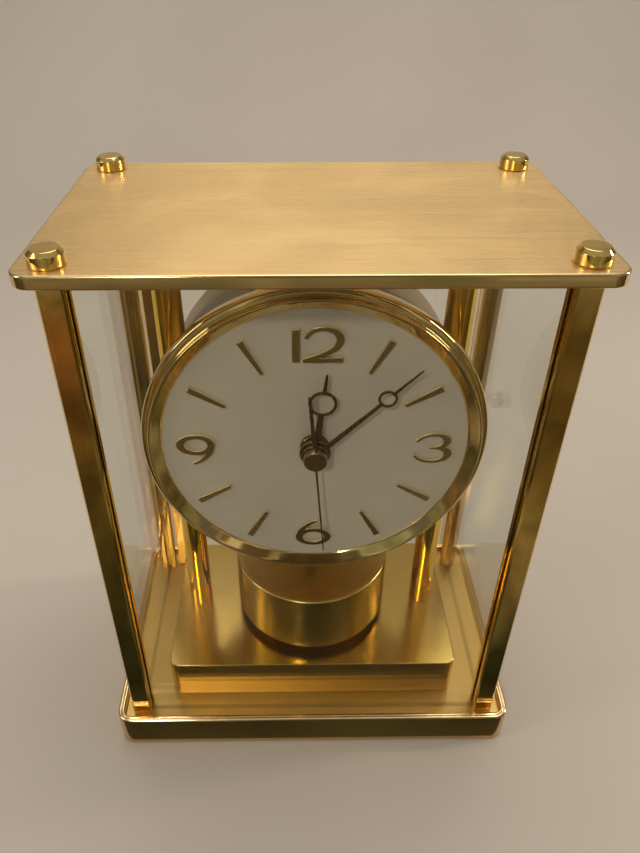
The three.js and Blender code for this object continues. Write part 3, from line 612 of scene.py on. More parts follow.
# fine groove between the two beads of the lip
prof += [(1.15, LIP_Z), (1.27, LIP_Z - 0.10), (1.32, LIP_Z - 0.42), (1.50, LIP_Z - 0.42), (1.55, LIP_Z - 0.12), (1.68, LIP_Z)]
prof += [(2.2, LIP_Z)] + [(2.2 + 0.8 * math.sin(math.radians(a)), LIP_Z - 0.8 + 0.8 * math.cos(math.radians(a))) for a in (22, 45, 68, 90)]
prof += [(3.0, FLOOR + 0.35), (3.1, FLOOR + 0.1), (3.35, FLOOR)]
v, f = plan_sweep(prof, BW, BD, 6.5, 14)
DOOR_PX, DOOR_PY = bx("rear_door_glass")[0][0] - 1.15, (bx("rear_door_hinge_rail")[0][1] + bx("rear_door_hinge_rail")[1][1]) / 2
tray = raw("base_tray_brass", (v, f))
boolean(tray, raw("pivot_bore_low", lathe_z([(0, 11.6), (1.08, 11.6), (1.08, FLOOR + 1.0), (0, FLOOR + 1.0)], DOOR_PX, DOOR_PY, 32)))
dress(tray, None, "case", ["base_tray"], sharp=50, mats=[M["tray"], M["lip"]],
            pick=lambda p: 1 if p.center.z > (LIP_Z - 1.0) * S and p.center.z < LIP_Z * S + 1 and max(abs(p.center.x) - (BW - 3.3) * S, abs(p.center.y) - (BD - 3.3) * S) > 0 and len(p.vertices) == 4 else 0)
lo, hi = bx("base_felt_board")
v, f = plan_sweep([(0.8, lo[2]), (0.3, lo[2] + 0.12), (0.0, lo[2] + 0.5), (0.0, hi[2] - 0.3), (0.3, hi[2])], hi[0], hi[1], 3.8, 8)
mesh("felt_faced_board", v, f, M["felt"], "case", "felt", ["base_felt_board"])

lo, hi = bx("plinth")
PX, PY, PZ0, PZ1 = hi[0], hi[1], lo[2], hi[2]
WALL = 2.4
prof = [(WALL, PZ1 - WALL), (WALL, PZ0 + 0.15), (WALL - 0.15, PZ0), (0.35, PZ0), (0.1, PZ0 + 0.1), (0.0, PZ0 + 0.35)]
prof += [(0.0, PZ1 - 0.55)] + [(0.55 - 0.55 * math.cos(math.radians(a)), PZ1 - 0.55 + 0.55 * math.sin(math.radians(a))) for a in (22, 45, 68, 90)]
v, f = plan_sweep(prof, PX, PY, 4.5, 14)
mesh("plinth_brass", v, f, M["plinth"], "case", "satin_brass", ["plinth"], sharp=50)

# ------------------------------------------------------------------ pillars
H, C = 4.1, 0.72
GW, GD = 1.15, 2.15


def pillar_outline(cx, cy, grooves):
    """Square with chamfered corners, anticlockwise; grooves names the faces that hold a pane."""
    pts = []
    for face, (nx, ny) in (("-y", (0, -1)), ("+x", (1, 0)), ("+y", (0, 1)), ("-x", (-1, 0))):
        tx, ty = -ny, nx
        line = [(-H + C, 0), (H - C, 0)]
        if face in grooves:
            line = [(-H + C, 0), (-GW, 0), (-GW, GD), (GW, GD), (GW, 0), (H - C, 0)]
        for s, d in line:
            pts.append((cx + tx * s + nx * (H - d), cy + ty * s + ny * (H - d)))
    return pts


for tag, sx, sy in (("front_left", -1, -1), ("front_right", 1, -1), ("rear_left", -1, 1), ("rear_right", 1, 1)):
    node = "corner_pillar_" + tag
    lo, hi = bx(node)
    cx, cy = (lo[0] + hi[0]) / 2, (lo[1] + hi[1]) / 2
    z0, z1 = FLOOR + 0.04, bx("top_plate")[0][2] - 0.04
    grooves = {"+y" if sy < 0 else "-y"}
    if sy < 0:
        grooves.add("+x" if sx < 0 else "-x")
    v, f = prism_z(pillar_outline(cx, cy, grooves), z0, z1)
    mesh("pillar_" + tag, v, f, M["pillar"], "case", "polished_brass", [node], sharp=20, bevel=0.11, seg=2)

# ------------------------------------------------------------------ top plate and nuts
lo, hi = bx("top_plate")
TX, TY, TZ0, TZ1 = hi[0], hi[1], lo[2], hi[2]
prof = [(0.9, TZ0)] + [(0.6 - 0.6 * math.sin(math.radians(a)), TZ0 + 0.6 - 0.6 * math.cos(math.radians(a))) for a in (0, 22, 45, 68, 90)]
prof += [(0.75 - 0.75 * math.cos(math.radians(a)), TZ1 - 0.75 + 0.75 * math.sin(math.radians(a))) for a in (0, 15, 30, 45, 60, 75, 90)] + [(1.1, TZ1)]
v, f = plan_sweep(prof, TX, TY, 6.0, 16)
top = raw("top_plate_brushed", (v, f))
boolean(top, raw("pivot_bore_high", lathe_z([(0, TZ0 - 1.0), (1.08, TZ0 - 1.0), (1.08, TZ0 + 2.2), (0, TZ0 + 2.2)], DOOR_PX, DOOR_PY, 32)))
dress(top, M["top"], "case", ["top_plate"], sharp=50)
for tag in ("front_left", "front_right", "rear_left", "rear_right"):
    node = "cap_nut_" + tag
    lo, hi = bx(node)
    cx, cy, z0, z1 = (lo[0] + hi[0]) / 2, (lo[1] + hi[1]) / 2, lo[2], hi[2]
    R = (hi[0] - lo[0]) / 2
    pts = rounded_profile([(0, z0), (R - 0.35, z0), (R, z0 + 0.35), (R, z1 - 1.25), (R - 1.15, z1), (0, z1)], [0, 0.1, 0.2, 0.28, 0.3, 0], 4)
    v, f = lathe_z(pts, cx, cy, 112)
    mesh("cap_nut_" + tag + "_turned", v, f, M["nut"], "case", "polished_brass", [node], sharp=60)

# ------------------------------------------------------------------ glazing
for node, name in (("front_glass", "front_pane"), ("left_glass", "left_pane"), ("right_glass", "right_pane"), ("rear_door_glass", "rear_door_pane")):
    lo, hi = bx(node)
    v, f = boxv(lo[0], hi[0], lo[1], hi[1], lo[2], hi[2])
    thin = 1 if hi[1] - lo[1] < hi[0] - lo[0] else 0
    body = "rear_door" if node.startswith("rear") else "case"
    mesh(name, v, f, None, body, "case_glass", [node], bevel=0.22, seg=1, mats=[M["glass"], M["glass_edge"]],
         pick=lambda p, k=thin: 0 if abs(p.normal[k]) > 0.9 else 1)
lo, hi = bx("rear_door_hinge_rail")
gl = bx("rear_door_glass")
dx, dy = gl[0][0] - 1.15, (lo[1] + hi[1]) / 2
z0, z1 = FLOOR + 0.6, TZ0 - 0.6
out = [(dx - 1.2, dy - 1.7), (dx + 5.2, dy - 1.7), (dx + 5.2, dy - 1.05), (dx + 0.8, dy - 1.05), (dx + 0.8, dy + 1.05), (dx + 5.2, dy + 1.05), (dx + 5.2, dy + 1.7), (dx - 1.2, dy + 1.7)]
rail = prism_z(out, z0, z1)
pins = [lathe_z([(0, a), (0.85, a), (1.0, a + 0.15), (1.0, b)], dx, dy, 32) for a, b in ((z0 - 2.3, z0 + 0.5),)] + [lathe_z([(1.0, z1 - 0.5), (1.0, z1 + 2.15), (0.85, z1 + 2.3), (0, z1 + 2.3)], dx, dy, 32)]
v, f = merge(rail, *pins)
mesh("rear_door_rail", v, f, M["pillar"], "rear_door", "polished_brass", ["rear_door_hinge_rail"], bevel=0.12, seg=2)
lo, hi = bx("rear_door_pull")
cx, cz, y0 = (lo[0] + hi[0]) / 2, (lo[2] + hi[2]) / 2, lo[1]
pts = rounded_profile([(0, y0), (3.2, y0), (3.2, y0 + 0.8), (1.6, y0 + 1.7), (1.6, y0 + 3.4), (3.6, y0 + 4.6), (3.6, y0 + 6.3), (2.6, y0 + 7.4), (0, y0 + 7.56)],
                      [0, 0.15, 0.3, 0.7, 1.0, 0.7, 0.5, 0.6, 0], 5)
v, f = lathe_y(pts, cx, cz, 72)
mesh("rear_door_knob", v, f, M["nut"], "rear_door", "polished_brass", ["rear_door_pull"], sharp=60)

# ------------------------------------------------------------------ posts
for tag in ("left", "right"):
    node = "movement_post_" + tag
    lo, hi = bx(node)
    cx, cy = (lo[0] + hi[0]) / 2, (lo[1] + hi[1]) / 2
    R = (hi[0] - lo[0]) / 2
    pts = rounded_profile([(0, lo[2]), (2.4, lo[2]), (2.4, PZ1 + 0.04), (R - 0.25, PZ1 + 0.04), (R, PZ1 + 0.3), (R, hi[2] - 0.3), (R - 0.3, hi[2]), (0, hi[2])], [0, 0.2, 0, 0.1, 0.1, 0.1, 0.1, 0], 2)
    v, f = lathe_z(pts, cx, cy, 112)
    mesh("post_" + tag, v, f, M["post"], "case", "polished_brass", [node], sharp=50)
PCX, PCY, PR = abs(cx), cy, R

# ------------------------------------------------------------------ drum housing
lo, hi = bx("movement_housing")
DZ = (bx("dial_plate")[0][2] + bx("dial_plate")[1][2]) / 2
DF = -19.0
Y0, Y1, CR = DF + 1.14, hi[1], 59.5
pts = [(57.5, Y0 + 1.3), (0, Y0 + 1.3), (0, Y0)][::-1]
pts = [(4.3, Y0), (CR - 0.3, Y0), (CR, Y0 + 0.3), (CR, Y1 - 2.2)] + [(CR - 2.2 + 2.2 * math.cos(math.radians(a)), Y1 - 2.2 + 2.2 * math.sin(math.radians(a))) for a in (15, 30, 45, 60, 75, 88)]
pts += [(57.55, Y1), (57.5, Y1 - 0.3), (57.5, Y0 + 1.3), (4.3, Y0 + 1.3)]
pts = [(r, y) for r, y in pts]
house = raw("movement_drum_case", lathe_y(pts, 0, DZ, 168, closed=True))
for sx in (-1, 1):
    sleeve = raw("sl", lathe_z([(0, DZ - 30), (PR + 2.2, DZ - 30), (PR + 2.2, DZ + 30), (0, DZ + 30)], sx * PCX, PCY, 72))
    clip = raw("cl", lathe_y([(0, Y0 - 1), (62.3, Y0 - 1), (62.3, Y1 + 1), (0, Y1 + 1)], 0, DZ, 168))
    boolean(sleeve, clip, "INTERSECT")
    boolean(house, sleeve, "UNION")
for sx in (-1, 1):
    boolean(house, raw("ph", lathe_z([(0, DZ - 90), (PR + 0.2, DZ - 90), (PR + 0.2, DZ + 90), (0, DZ + 90)], sx * PCX, PCY, 72)))
boolean(house, raw("sh", lathe_z([(0, DZ - 70), (3.4, DZ - 70), (3.4, DZ - 53.4), (0, DZ - 53.4)], 0, PCY, 48)))
dress(house, M["enamel"], "case", ["movement_housing"], sharp=30)
lo, hi = bx("movement_rear_cover")
RC0, RC1 = lo[1], hi[1]
cover = raw("rear_cover_plate", lathe_y(rounded_profile([(0, RC0), (57.4, RC0), (57.4, RC1), (0, RC1)], [0, 0.1, 0.6, 0], 4), 0, DZ, 144))
boolean(cover, raw("k", lathe_y([(0, RC0 - 3), (2.08, RC0 - 3), (2.08, RC1 + 3), (0, RC1 + 3)], 0, DZ - 21, 48)))
boolean(cover, raw("k", boxv(-30, 30, RC0 - 3, RC1 + 3, DZ + 13, DZ + 33)))
# turned rings pressed into the cover
for r in (54.2, 44.0):
    ring = lathe_y([(r - 0.35, RC1 - 0.35), (r + 0.35, RC1 - 0.35), (r + 0.5, RC1 + 1), (r - 0.5, RC1 + 1)], 0, DZ, 144, closed=True)
    boolean(cover, raw("k", ring))
dress(cover, M["enamel"], "case", ["movement_rear_cover"], sharp=30)
lo, hi = bx("battery_cover")
parts = [boxv(lo[0], hi[0], lo[1], lo[1] + 1.6, lo[2], hi[2])]
lid = mesh("battery_cover_moulding", *merge(parts[0]), M["enamel"], "battery_cover_body", "housing_enamel", ["battery_cover"], bevel=0.35, seg=3)
for i in range(4):
    x = lo[0] + 51 + i * 3
    v, f = boxv(x, x + 1, lo[1] + 1.3, hi[1], (lo[2] + hi[2]) / 2 - 7, (lo[2] + hi[2]) / 2 + 7)
    mesh("battery_cover_grip_%d" % (i + 1), v, f, M["enamel"], "battery_cover_body", "housing_enamel", bevel=0.3, seg=2)

# ------------------------------------------------------------------ bezel and dial
lo, hi = bx("bezel")
b = [(57.9, DF - 0.04), (57.9, -19.22), (57.98, -19.36)] + [(57.98 + (61.85 - 57.98) * i / 5, -19.36 - (22.12 - 19.36) * i / 5) for i in range(1, 6)]
b += [(62.05, -22.23), (62.25, -22.29), (62.45, -22.28), (62.63, -22.18), (62.74, -22.0), (62.8, -21.75), (62.82, -20.9), (62.84, -20.1), (62.88, -19.8), (63.02, -19.58), (63.3, -19.46),
      (63.62, -19.5), (63.9, -19.5), (64.2, -19.4), (64.7, -19.26), (65.2, -19.02), (65.5, -18.65), (65.6, -18.2), (65.6, -14.6), (65.45, -14.2), (65.1, -14.0), (59.75, -14.0), (59.62, -14.2), (59.62, DF - 0.04)]
v, f = lathe_y(b, 0, DZ, 224, closed=True)
mesh("bezel_ring", v, f, M["bezel"], "case", "polished_brass", ["bezel"], sharp=50, weighted=False)
v, f = lathe_y([(4.2, DF), (59.2, DF), (59.2, DF + 1.1), (4.2, DF + 1.1)], 0, DZ, 168, closed=True)
mesh("dial_disc", v, f, M["dial"], "case", "dial_white", ["dial_plate"], sharp=30)

# ------------------------------------------------------------------ applied figures
MY1 = DF - 0.04
MT = 1.5


def smooth_line(pts, n=6):
    """Catmull-Rom through open points."""
    out = []
    P = [Vector(p) for p in pts]
    P = [P[0] * 2 - P[1]] + P + [P[-1] * 2 - P[-2]]
    for i in range(1, len(P) - 2):
        for j in range(n):
            t = j / n
            a, b2, c, d = P[i - 1], P[i], P[i + 1], P[i + 2]
            out.append(0.5 * ((2 * b2) + (c - a) * t + (2 * a - 5 * b2 + 4 * c - d) * t * t + (3 * b2 - a - 3 * c + d) * t ** 3))
    out.append(P[-2])
    return [(p.x, p.y) for p in out]


def ell(cx, cz, rx, rz, a0, a1, n=28):
    return [(cx + rx * math.cos(math.radians(a0 + (a1 - a0) * i / n)), cz + rz * math.sin(math.radians(a0 + (a1 - a0) * i / n))) for i in range(n + 1)]


def applied(name, loops, node, cx, cz, y1=MY1, t=MT, edge=0.22, mat=None, body="case", rot=0.0, pivot=None):
    """Flat metal figure with a softened front edge. loops: outline first, then holes, as (x, z) about (cx, cz)."""
    cu = bpy.data.curves.new(name, "CURVE")
    cu.dimensions = "2D"
    cu.fill_mode = "BOTH"
    for lp in loops:
        sp = cu.splines.new("POLY")
        sp.points.add(len(lp) - 1)
        for p, q in zip(sp.points, lp):
            p.co = (q[0] * S, q[1] * S, 0, 1)
        sp.use_cyclic_u = True
    cu.offset = -edge * S
    cu.extrude = (t / 2 - edge) * S
    cu.bevel_depth = edge * S
    cu.bevel_resolution = 2
    tmp = bpy.data.objects.new(name + "_c", cu)
    bpy.context.scene.collection.objects.link(tmp)
    dg = bpy.context.evaluated_depsgraph_get()
    me = bpy.data.meshes.new_from_object(tmp.evaluated_get(dg))
    bpy.data.objects.remove(tmp)
    me.transform(Matrix.Rotation(math.radians(90), 4, "X"))
    me.transform(Matrix.Translation((cx * S, (y1 - t / 2) * S, cz * S)))
    if rot:
        p = Vector((pivot[0] * S, 0, pivot[1] * S))
        me.transform(Matrix.Translation(p) @ Matrix.Rotation(rot, 4, "Y") @ Matrix.Translation(-p))
    bm = bmesh.new()
    bm.from_mesh(me)
    bmesh.ops.remove_doubles(bm, verts=bm.verts, dist=1e-7)
    bmesh.ops.recalc_face_normals(bm, faces=bm.faces)
    bm.to_mesh(me)
    bm.free()
    ob = bpy.data.objects.new(name, me)
    bpy.context.scene.collection.objects.link(ob)
    return dress(ob, mat or M["mark"], body, node, sharp=40)


# twelve: plain bar, and a two with an arched top, a straight diagonal and a flat foot
applied("figure_12_one", [[(-8.5, 37.7), (-5.7, 37.7), (-5.7, 50.8), (-8.5, 50.2)]], ["numeral_12_digit_1"], 0, DZ)
two = smooth_line([(-4.3, 47.3), (-3.3, 49.2), (-1.0, 50.9), (2.4, 51.6), (6.2, 51.0), (8.9, 49.2), (9.7, 46.8), (9.2, 44.6), (7.6, 42.6), (4.6, 40.8), (1.6, 39.5)], 5)
two += [(9.5, 39.4), (9.5, 37.5), (-4.7, 37.5), (-4.7, 39.0)]
two += smooth_line([(-4.7, 39.0), (-1.4, 40.3), (2.6, 41.9), (5.4, 43.7), (6.7, 45.8), (6.5, 47.6), (5.0, 49.2), (2.4, 50.0), (-0.2, 49.5), (-2.0, 48.3), (-3.0, 46.6)], 5)[1:]
applied("figure_12_two", [two], ["numeral_12_digit_2"], 0, DZ)
nine_outer = ell(0, 2.15, 7.35, 4.8, -18, 298, 64)
nine_outer += smooth_line([(3.45, -2.1), (2.9, -2.9), (1.2, -4.5), (-0.6, -5.7), (-1.9, -6.35)], 5)[1:]
nine_outer += [(-1.2, -7.15)] + smooth_line([(-1.2, -7.15), (0.8, -6.5), (3.2, -5.0), (5.2, -3.0), (6.5, -1.0), (6.99, 0.67)], 5)[1:-1]
nine_hole = ell(0.05, 2.25, 4.35, 2.9, 0, 354, 60)
applied("figure_9", [nine_outer, nine_hole], ["numeral_9"], -45.1, DZ - 0.6)
applied("figure_6", [[(-x, -z) for x, z in nine_outer], [(-x, -z) for x, z in nine_hole]], ["numeral_6"], -0.1, DZ - 44.7)
three = smooth_line([(-6.9, 3.6), (-5.4, 5.1), (-3.0, 6.4), (0.2, 6.95), (3.4, 6.6), (5.8, 5.4), (6.6, 3.7), (6.2, 2.0), (4.6, 0.75)], 5)
three += smooth_line([(4.6, 0.75), (6.4, -0.3), (7.3, -2.0), (7.1, -3.9), (5.6, -5.6), (3.0, -6.7), (0.0, -7.0), (-3.4, -6.6), (-6.0, -5.3), (-7.3, -3.6)], 5)[1:]
three += [(-6.5, -3.0)] + smooth_line([(-6.5, -3.0), (-5.0, -4.5), (-2.6, -5.5), (0.2, -5.75), (2.6, -5.2), (4.0, -4.0), (4.2, -2.6), (3.3, -1.2), (1.4, -0.45), (-1.2, -0.35)], 5)[1:]
three += [(-1.2, 0.55)] + smooth_line([(-1.2, 0.55), (1.2, 0.8), (2.9, 1.6), (3.6, 2.9), (3.2, 4.3), (1.8, 5.3), (-0.4, 5.65), (-2.8, 5.2), (-4.8, 4.0), (-6.2, 2.7)], 5)[1:]
applied("figure_3", [three], ["numeral_3"], 45.0, DZ - 0.6)
for h in (1, 2, 4, 5, 7, 8, 10, 11):
    node = "hour_baton_%02d" % h
    a = math.radians(h * 30)
    loop = [(-0.72, 37.9), (0.72, 37.9), (1.3, 52.9), (-1.3, 52.9)]
    loop = [(x * math.cos(a) + z * math.sin(a), -x * math.sin(a) + z * math.cos(a)) for x, z in loop]
    applied("baton_%02d" % h, [loop], [node], 0, DZ, edge=0.16)

# ------------------------------------------------------------------ hands
HOUR, MINUTE, SECOND = 6.3, 44.8, 175.3


def turned(loop, deg):
    a = math.radians(deg)
    return [(x * math.cos(a) + z * math.sin(a), -x * math.sin(a) + z * math.cos(a)) for x, z in loop]


def pipe_y(profile, n=72):
    return lathe_y(profile, 0, DZ, n, closed=True)


def hand(name, deg, w0, w1, r1, ring_r, ring_w, ring_c, t0, t1, tip, y0, y1, hub, hub0, hub1, bore, nodes, body):
    """Blade, ring and point cut from one sheet, pressed on a turned hub."""
    jb = math.sqrt(max(ring_r ** 2 - (w1 / 2) ** 2, 0))
    ja = math.sqrt(max(ring_r ** 2 - (t0 / 2) ** 2, 0))
    a0 = math.degrees(math.atan2(-jb, w1 / 2))
    a1 = math.degrees(math.atan2(ja, t0 / 2))
    right = ell(0, ring_c, ring_r, ring_r, a0, a1, 30)
    left = [(-x, z) for x, z in right][::-1]
    outer = [(-w0 / 2, bore + 0.4), (w0 / 2, bore + 0.4)] + right + [(t1 / 2, tip - t1 / 2), (0, tip), (-t1 / 2, tip - t1 / 2)] + left
    hole = ell(0, ring_c, ring_r - ring_w, ring_r - ring_w, 0, 355, 71)
    blade = applied(name + "_blade", [turned(outer, deg), turned(hole, deg)], nodes, 0, DZ, y1, y1 - y0, 0.1, M["hand"], body)
    prof = rounded_profile([(bore, hub0), (hub, hub0), (hub, hub1), (bore, hub1)], [0.08, 0.25, 0.15, 0.08], 3)
    v, f = pipe_y(prof)
    mesh(name + "_hub", v, f, M["hand"], body, "bronze_hand", sharp=40)
    return blade


hand("hour_hand", HOUR, 2.8, 2.2, 18, 5.25, 1.1, 22.5, 1.5, 0.9, 35.0, -24.0, -23.4, 5.9, -24.3, -22.9, 3.06, ["hour_hand"], "hour_shaft")
hand("minute_hand", MINUTE, 2.2, 1.3, 33, 3.5, 0.95, 36.1, 1.15, 0.55, 52.6, -25.9, -25.3, 5.0, -26.3, -24.7, 2.02, ["minute_hand"], "minute_shaft")
outer = [(-0.65, -28.0), (0.65, -28.0), (0.75, -4.0), (0.45, 0.0), (0.42, 4.0), (0.26, 47.5), (-0.26, 47.5), (-0.42, 4.0), (-0.45, 0.0), (-0.75, -4.0)]
applied("second_hand_needle", [turned(outer, SECOND)], ["second_hand"], 0, DZ, -27.5, 0.5, 0.08, M["hand"], "seconds_shaft")
prof = [(0, -29.5), (3.75, -29.5), (4.1, -29.42), (4.5, -29.02), (4.5, -27.1), (4.35, -26.85), (4.1, -26.7), (0.81, -26.7), (0.81, -28.1), (0, -28.1)]
v, f = lathe_y(prof, 0, DZ, 96)
mesh("second_hand_cap", v, f, M["cap"], "seconds_shaft", "bronze_hand", sharp=30)
# ribbed centre nut on the dial
prof = [(4.12, -21.0), (5.2, -21.0), (5.45, -20.9), (5.6, -20.7), (5.6, -20.55), (5.25, -20.4), (5.6, -20.25), (5.6, -20.1), (5.25, -19.95), (5.6, -19.8), (5.6, -19.2), (5.45, -19.04), (4.12, -19.04)]
v, f = pipe_y(prof)
mesh("centre_nut_ring", v, f, M["hand"], "case", "bronze_hand", ["movement_centre_nut"], sharp=25)
# collars of the two pipes between the hands, seen as ribs under the cap
for name, body, r, y0, y1 in (("hour_pipe_collar", "hour_shaft", 3.9, -22.85, -21.7), ("minute_pipe_collar", "minute_shaft", 3.6, -24.68, -24.34), ("second_pipe_collar", "seconds_shaft", 3.0, -26.69, -26.4)):
    ri = {"hour_shaft": 3.02, "minute_shaft": 3.06, "seconds_shaft": 2.02}[body]
    v, f = pipe_y(rounded_profile([(ri, y0), (r, y0), (r, y1), (ri, y1)], [0.03, 0.1, 0.1, 0.03], 2))
    mesh(name, v, f, M["cap"], body, "bronze_hand", sharp=40)

# ------------------------------------------------------------------ pendulum
lo, hi = bx("pendulum_drum")
R, z0, z1, cy = (hi[0] - lo[0]) / 2, lo[2], hi[2], (lo[1] + hi[1]) / 2
w, crown = 1.8, z1 - 0.9
pts = [(0, crown - 2.2), (R - w - 0.6, crown - 2.2), (R - w - 0.2, crown - 2.4), (R - w, crown - 2.8), (R - w, z0 + 0.3), (R - w + 0.3, z0), (R - 0.8, z0)]
pts += [(R - 0.8 + 0.8 * math.sin(math.radians(a)), z0 + 0.8 - 0.8 * math.cos(math.radians(a))) for a in (22, 45, 68, 90)]
pts += [(R, z1 - 0.75)] + [(R - 0.75 + 0.75 * math.cos(math.radians(a)), z1 - 0.75 + 0.75 * math.sin(math.radians(a))) for a in (18, 36, 54, 72, 88)]
pts += [(R - w + 0.45, z1), (R - w + 0.12, z1 - 0.12), (R - w, z1 - 0.4), (R - w, crown + 0.25), (R - w - 0.08, crown + 0.07), (R - w - 0.25, crown)]
pts += [(12.0, crown), (11.6, crown - 0.12), (11.2, crown), (0, crown)]
v, f = lathe_z(pts, 0, cy, 192)
mesh("pendulum_drum_spun", v, f, M["drum"], "pendulum", "polished_brass", ["pendulum_drum"], sharp=50, weighted=True)
lo, hi = bx("pendulum_stem")
zb = lo[2]
dz0 = DZ - 53.0
pts = rounded_profile([(0, zb), (4.0, zb), (4.0, zb + 5.0), (1.5, zb + 5.0), (1.5, dz0 + 1.6), (3.2, dz0 + 1.6), (3.2, dz0 + 3.0), (1.5, dz0 + 3.0), (1.5, dz0 + 9.9), (7.5, dz0 + 9.9), (7.5, dz0 + 14.5), (0, dz0 + 14.5)],
                      [0, 0.3, 0.6, 0.2, 0, 0.2, 0.2, 0, 0, 0.4, 0.4, 0], 3)
v, f = lathe_z(pts, 0, cy, 64)
mesh("pendulum_rod", v, f, M["post"], "pendulum", "polished_brass", ["pendulum_stem"], sharp=40)

# ------------------------------------------------------------------ setting knob
lo, hi = bx("setting_knob_and_stem")
kx, kz = 0.0, DZ - 21.0
y1 = hi[1]
core = lathe_y(rounded_profile([(0, lo[1]), (2.0, lo[1]), (2.0, y1 - 5.0), (5.6, y1 - 5.0), (6.2, y1 - 4.4), (6.2, y1 - 0.6), (5.4, y1), (0, y1)], [0, 0.2, 0, 0.2, 0.2, 0.3, 0.5, 0], 3), kx, kz, 72)
n = 40
rim = []
for i in range(2 * n):
    r = 6.75 if i % 2 == 0 else 6.25
    a = math.pi * i / n
    rim.append((r * math.sin(a), r * math.cos(a)))
rib = rings([[(kx + x * k, y, kz + z * k) for x, z in rim] for y, k in ((y1 - 4.6, 0.965), (y1 - 4.2, 1.0), (y1 - 0.9, 1.0), (y1 - 0.45, 0.965))])
v, f = merge(core, rib)
mesh("setting_knob", v, f, M["black"], "setting_shaft", "black_plastic", ["setting_knob_and_stem"], sharp=25)

# ------------------------------------------------------------------ internals keep their CAD shapes
inner = {"movement_front_case": "black", "movement_rear_case": "black", "hour_wheel_and_pipe": "resin", "minute_wheel_and_pipe": "resin", "seconds_wheel_and_arbor": "steel",
         "third_wheel": "resin", "intermediate_wheel": "resin", "motion_wheel": "resin", "stepper_rotor": "steel", "stepper_stator_and_coil": "copper", "circuit_board": "board",
         "battery_cell": "cell", "battery_tray": "black", "pendulum_drive_case": "black", "pendulum_drive_coil": "copper"}
for node, key in inner.items():
    ob = CAD[node]
    ob.data.materials.clear()
    ob.data.materials.append(M[key])
    for p in ob.data.polygons:
        p.use_smooth = True
        p.material_index = 0
    ob.data.set_sharp_from_angle(angle=math.radians(35))
    we = ob.modifiers.new("weld", "WELD")
    we.merge_threshold = 1e-6
    bv = ob.modifiers.new("edge", "BEVEL")
    bv.width = 0.12 * S
    bv.segments = 2
    bv.limit_method = "ANGLE"
    bv.angle_limit = math.radians(40)
    wn = ob.modifiers.new("flat", "WEIGHTED_NORMAL")
    wn.keep_sharp = True

# ------------------------------------------------------------------ studio
def cove():
    """Pale floor that curves up into a plain wall well behind the clock."""
    prof = [(-4.0, 0.0), (-2.0, 0.0), (0.0, 0.0), (0.62, 0.0)]
    r = 0.45
    prof += [(0.62 + r * math.sin(math.radians(a)), r - r * math.cos(math.radians(a))) for a in range(6, 91, 6)]
    prof += [(0.62 + r, 1.2), (0.62 + r, 2.4)]
    me = bpy.data.meshes.new("studio_floor")
    verts, faces = [], []
    xs = (-4.0, -1.5, 0.0, 1.5, 4.0)
    for y, z in prof:
        verts += [(x, y, z) for x in xs]
    k = len(xs)
    for j in range(len(prof) - 1):
        for i in range(k - 1):
            faces.append((j * k + i, j * k + i + 1, (j + 1) * k + i + 1, (j + 1) * k + i))
    me.from_pydata(verts, [], faces)
    for p in me.polygons:
        p.use_smooth = True
    ob = bpy.data.objects.new("studio_floor", me)
    bpy.context.scene.collection.objects.link(ob)
    t = NT("studio_paper")
    v = t.coords((1, 1, 1))
    fib = t.noise(v, 900, 3.0, 0.6)
    cl = t.noise(v, 3, 2.0, 0.5)
    col = t.mix(t.range(cl, 0.3, 0.7, 0, 1), (0.47, 0.43, 0.38), (0.505, 0.465, 0.415))
    ob.data.materials.append(t.done(t.bsdf(color=col, rough=0.8, normal=t.bump(fib, 0.15, 0.0002), spec=0.2)))


cove()


def surround():
    """The same paper carried round the other sides, so that a view from any side has a plain backdrop. It adds nothing to the light."""
    me = bpy.data.meshes.new("studio_surround")
    rad, cove_r, n = 2.1, 0.6, 72
    prof = [(rad - cove_r + cove_r * math.sin(math.radians(a)), 0.0008 + cove_r - cove_r * math.cos(math.radians(a))) for a in range(0, 91, 9)] + [(rad, 1.6), (rad, 3.0)]
    verts, faces = [], []
    for r, z in prof:
        verts += [(r * math.cos(2 * math.pi * i / n), r * math.sin(2 * math.pi * i / n), z) for i in range(n)]
    for j in range(len(prof) - 1):
        for i in range(n):
            faces.append((j * n + i, j * n + (i + 1) % n, (j + 1) * n + (i + 1) % n, (j + 1) * n + i))
    me.from_pydata(verts, [], faces)
    for p in me.polygons:
        p.use_smooth = True
    ob = bpy.data.objects.new("studio_surround", me)
    bpy.context.scene.collection.objects.link(ob)
    t = NT("surround_paper")
    v = t.coords((1, 1, 1))
    cl = t.noise(v, 3, 2.0, 0.5)
    col = t.mix(t.range(cl, 0.3, 0.7, 0, 1), (0.47, 0.43, 0.38), (0.505, 0.465, 0.415))
    p = t.bsdf(color=col, rough=0.85, spec=0.1)
    sep = t.n("ShaderNodeSeparateXYZ")
    t.l(v, sep.inputs[0])
    # painted light: the backdrop glows by emission, dimmer at the floor and brighter towards the top
    t.l(t.mix(t.range(sep.outputs["Z"], 0.0, 1.0, 0.0, 1.0), (0.045, 0.038, 0.030), (0.125, 0.112, 0.095)), p.inputs["Emission Color"])
    p.inputs["Emission Strength"].default_value = 1.0
    me.materials.append(t.done(p))
    for k in ("visible_diffuse", "visible_glossy", "visible_shadow", "visible_transmission"):
        setattr(ob, k, False)


surround()


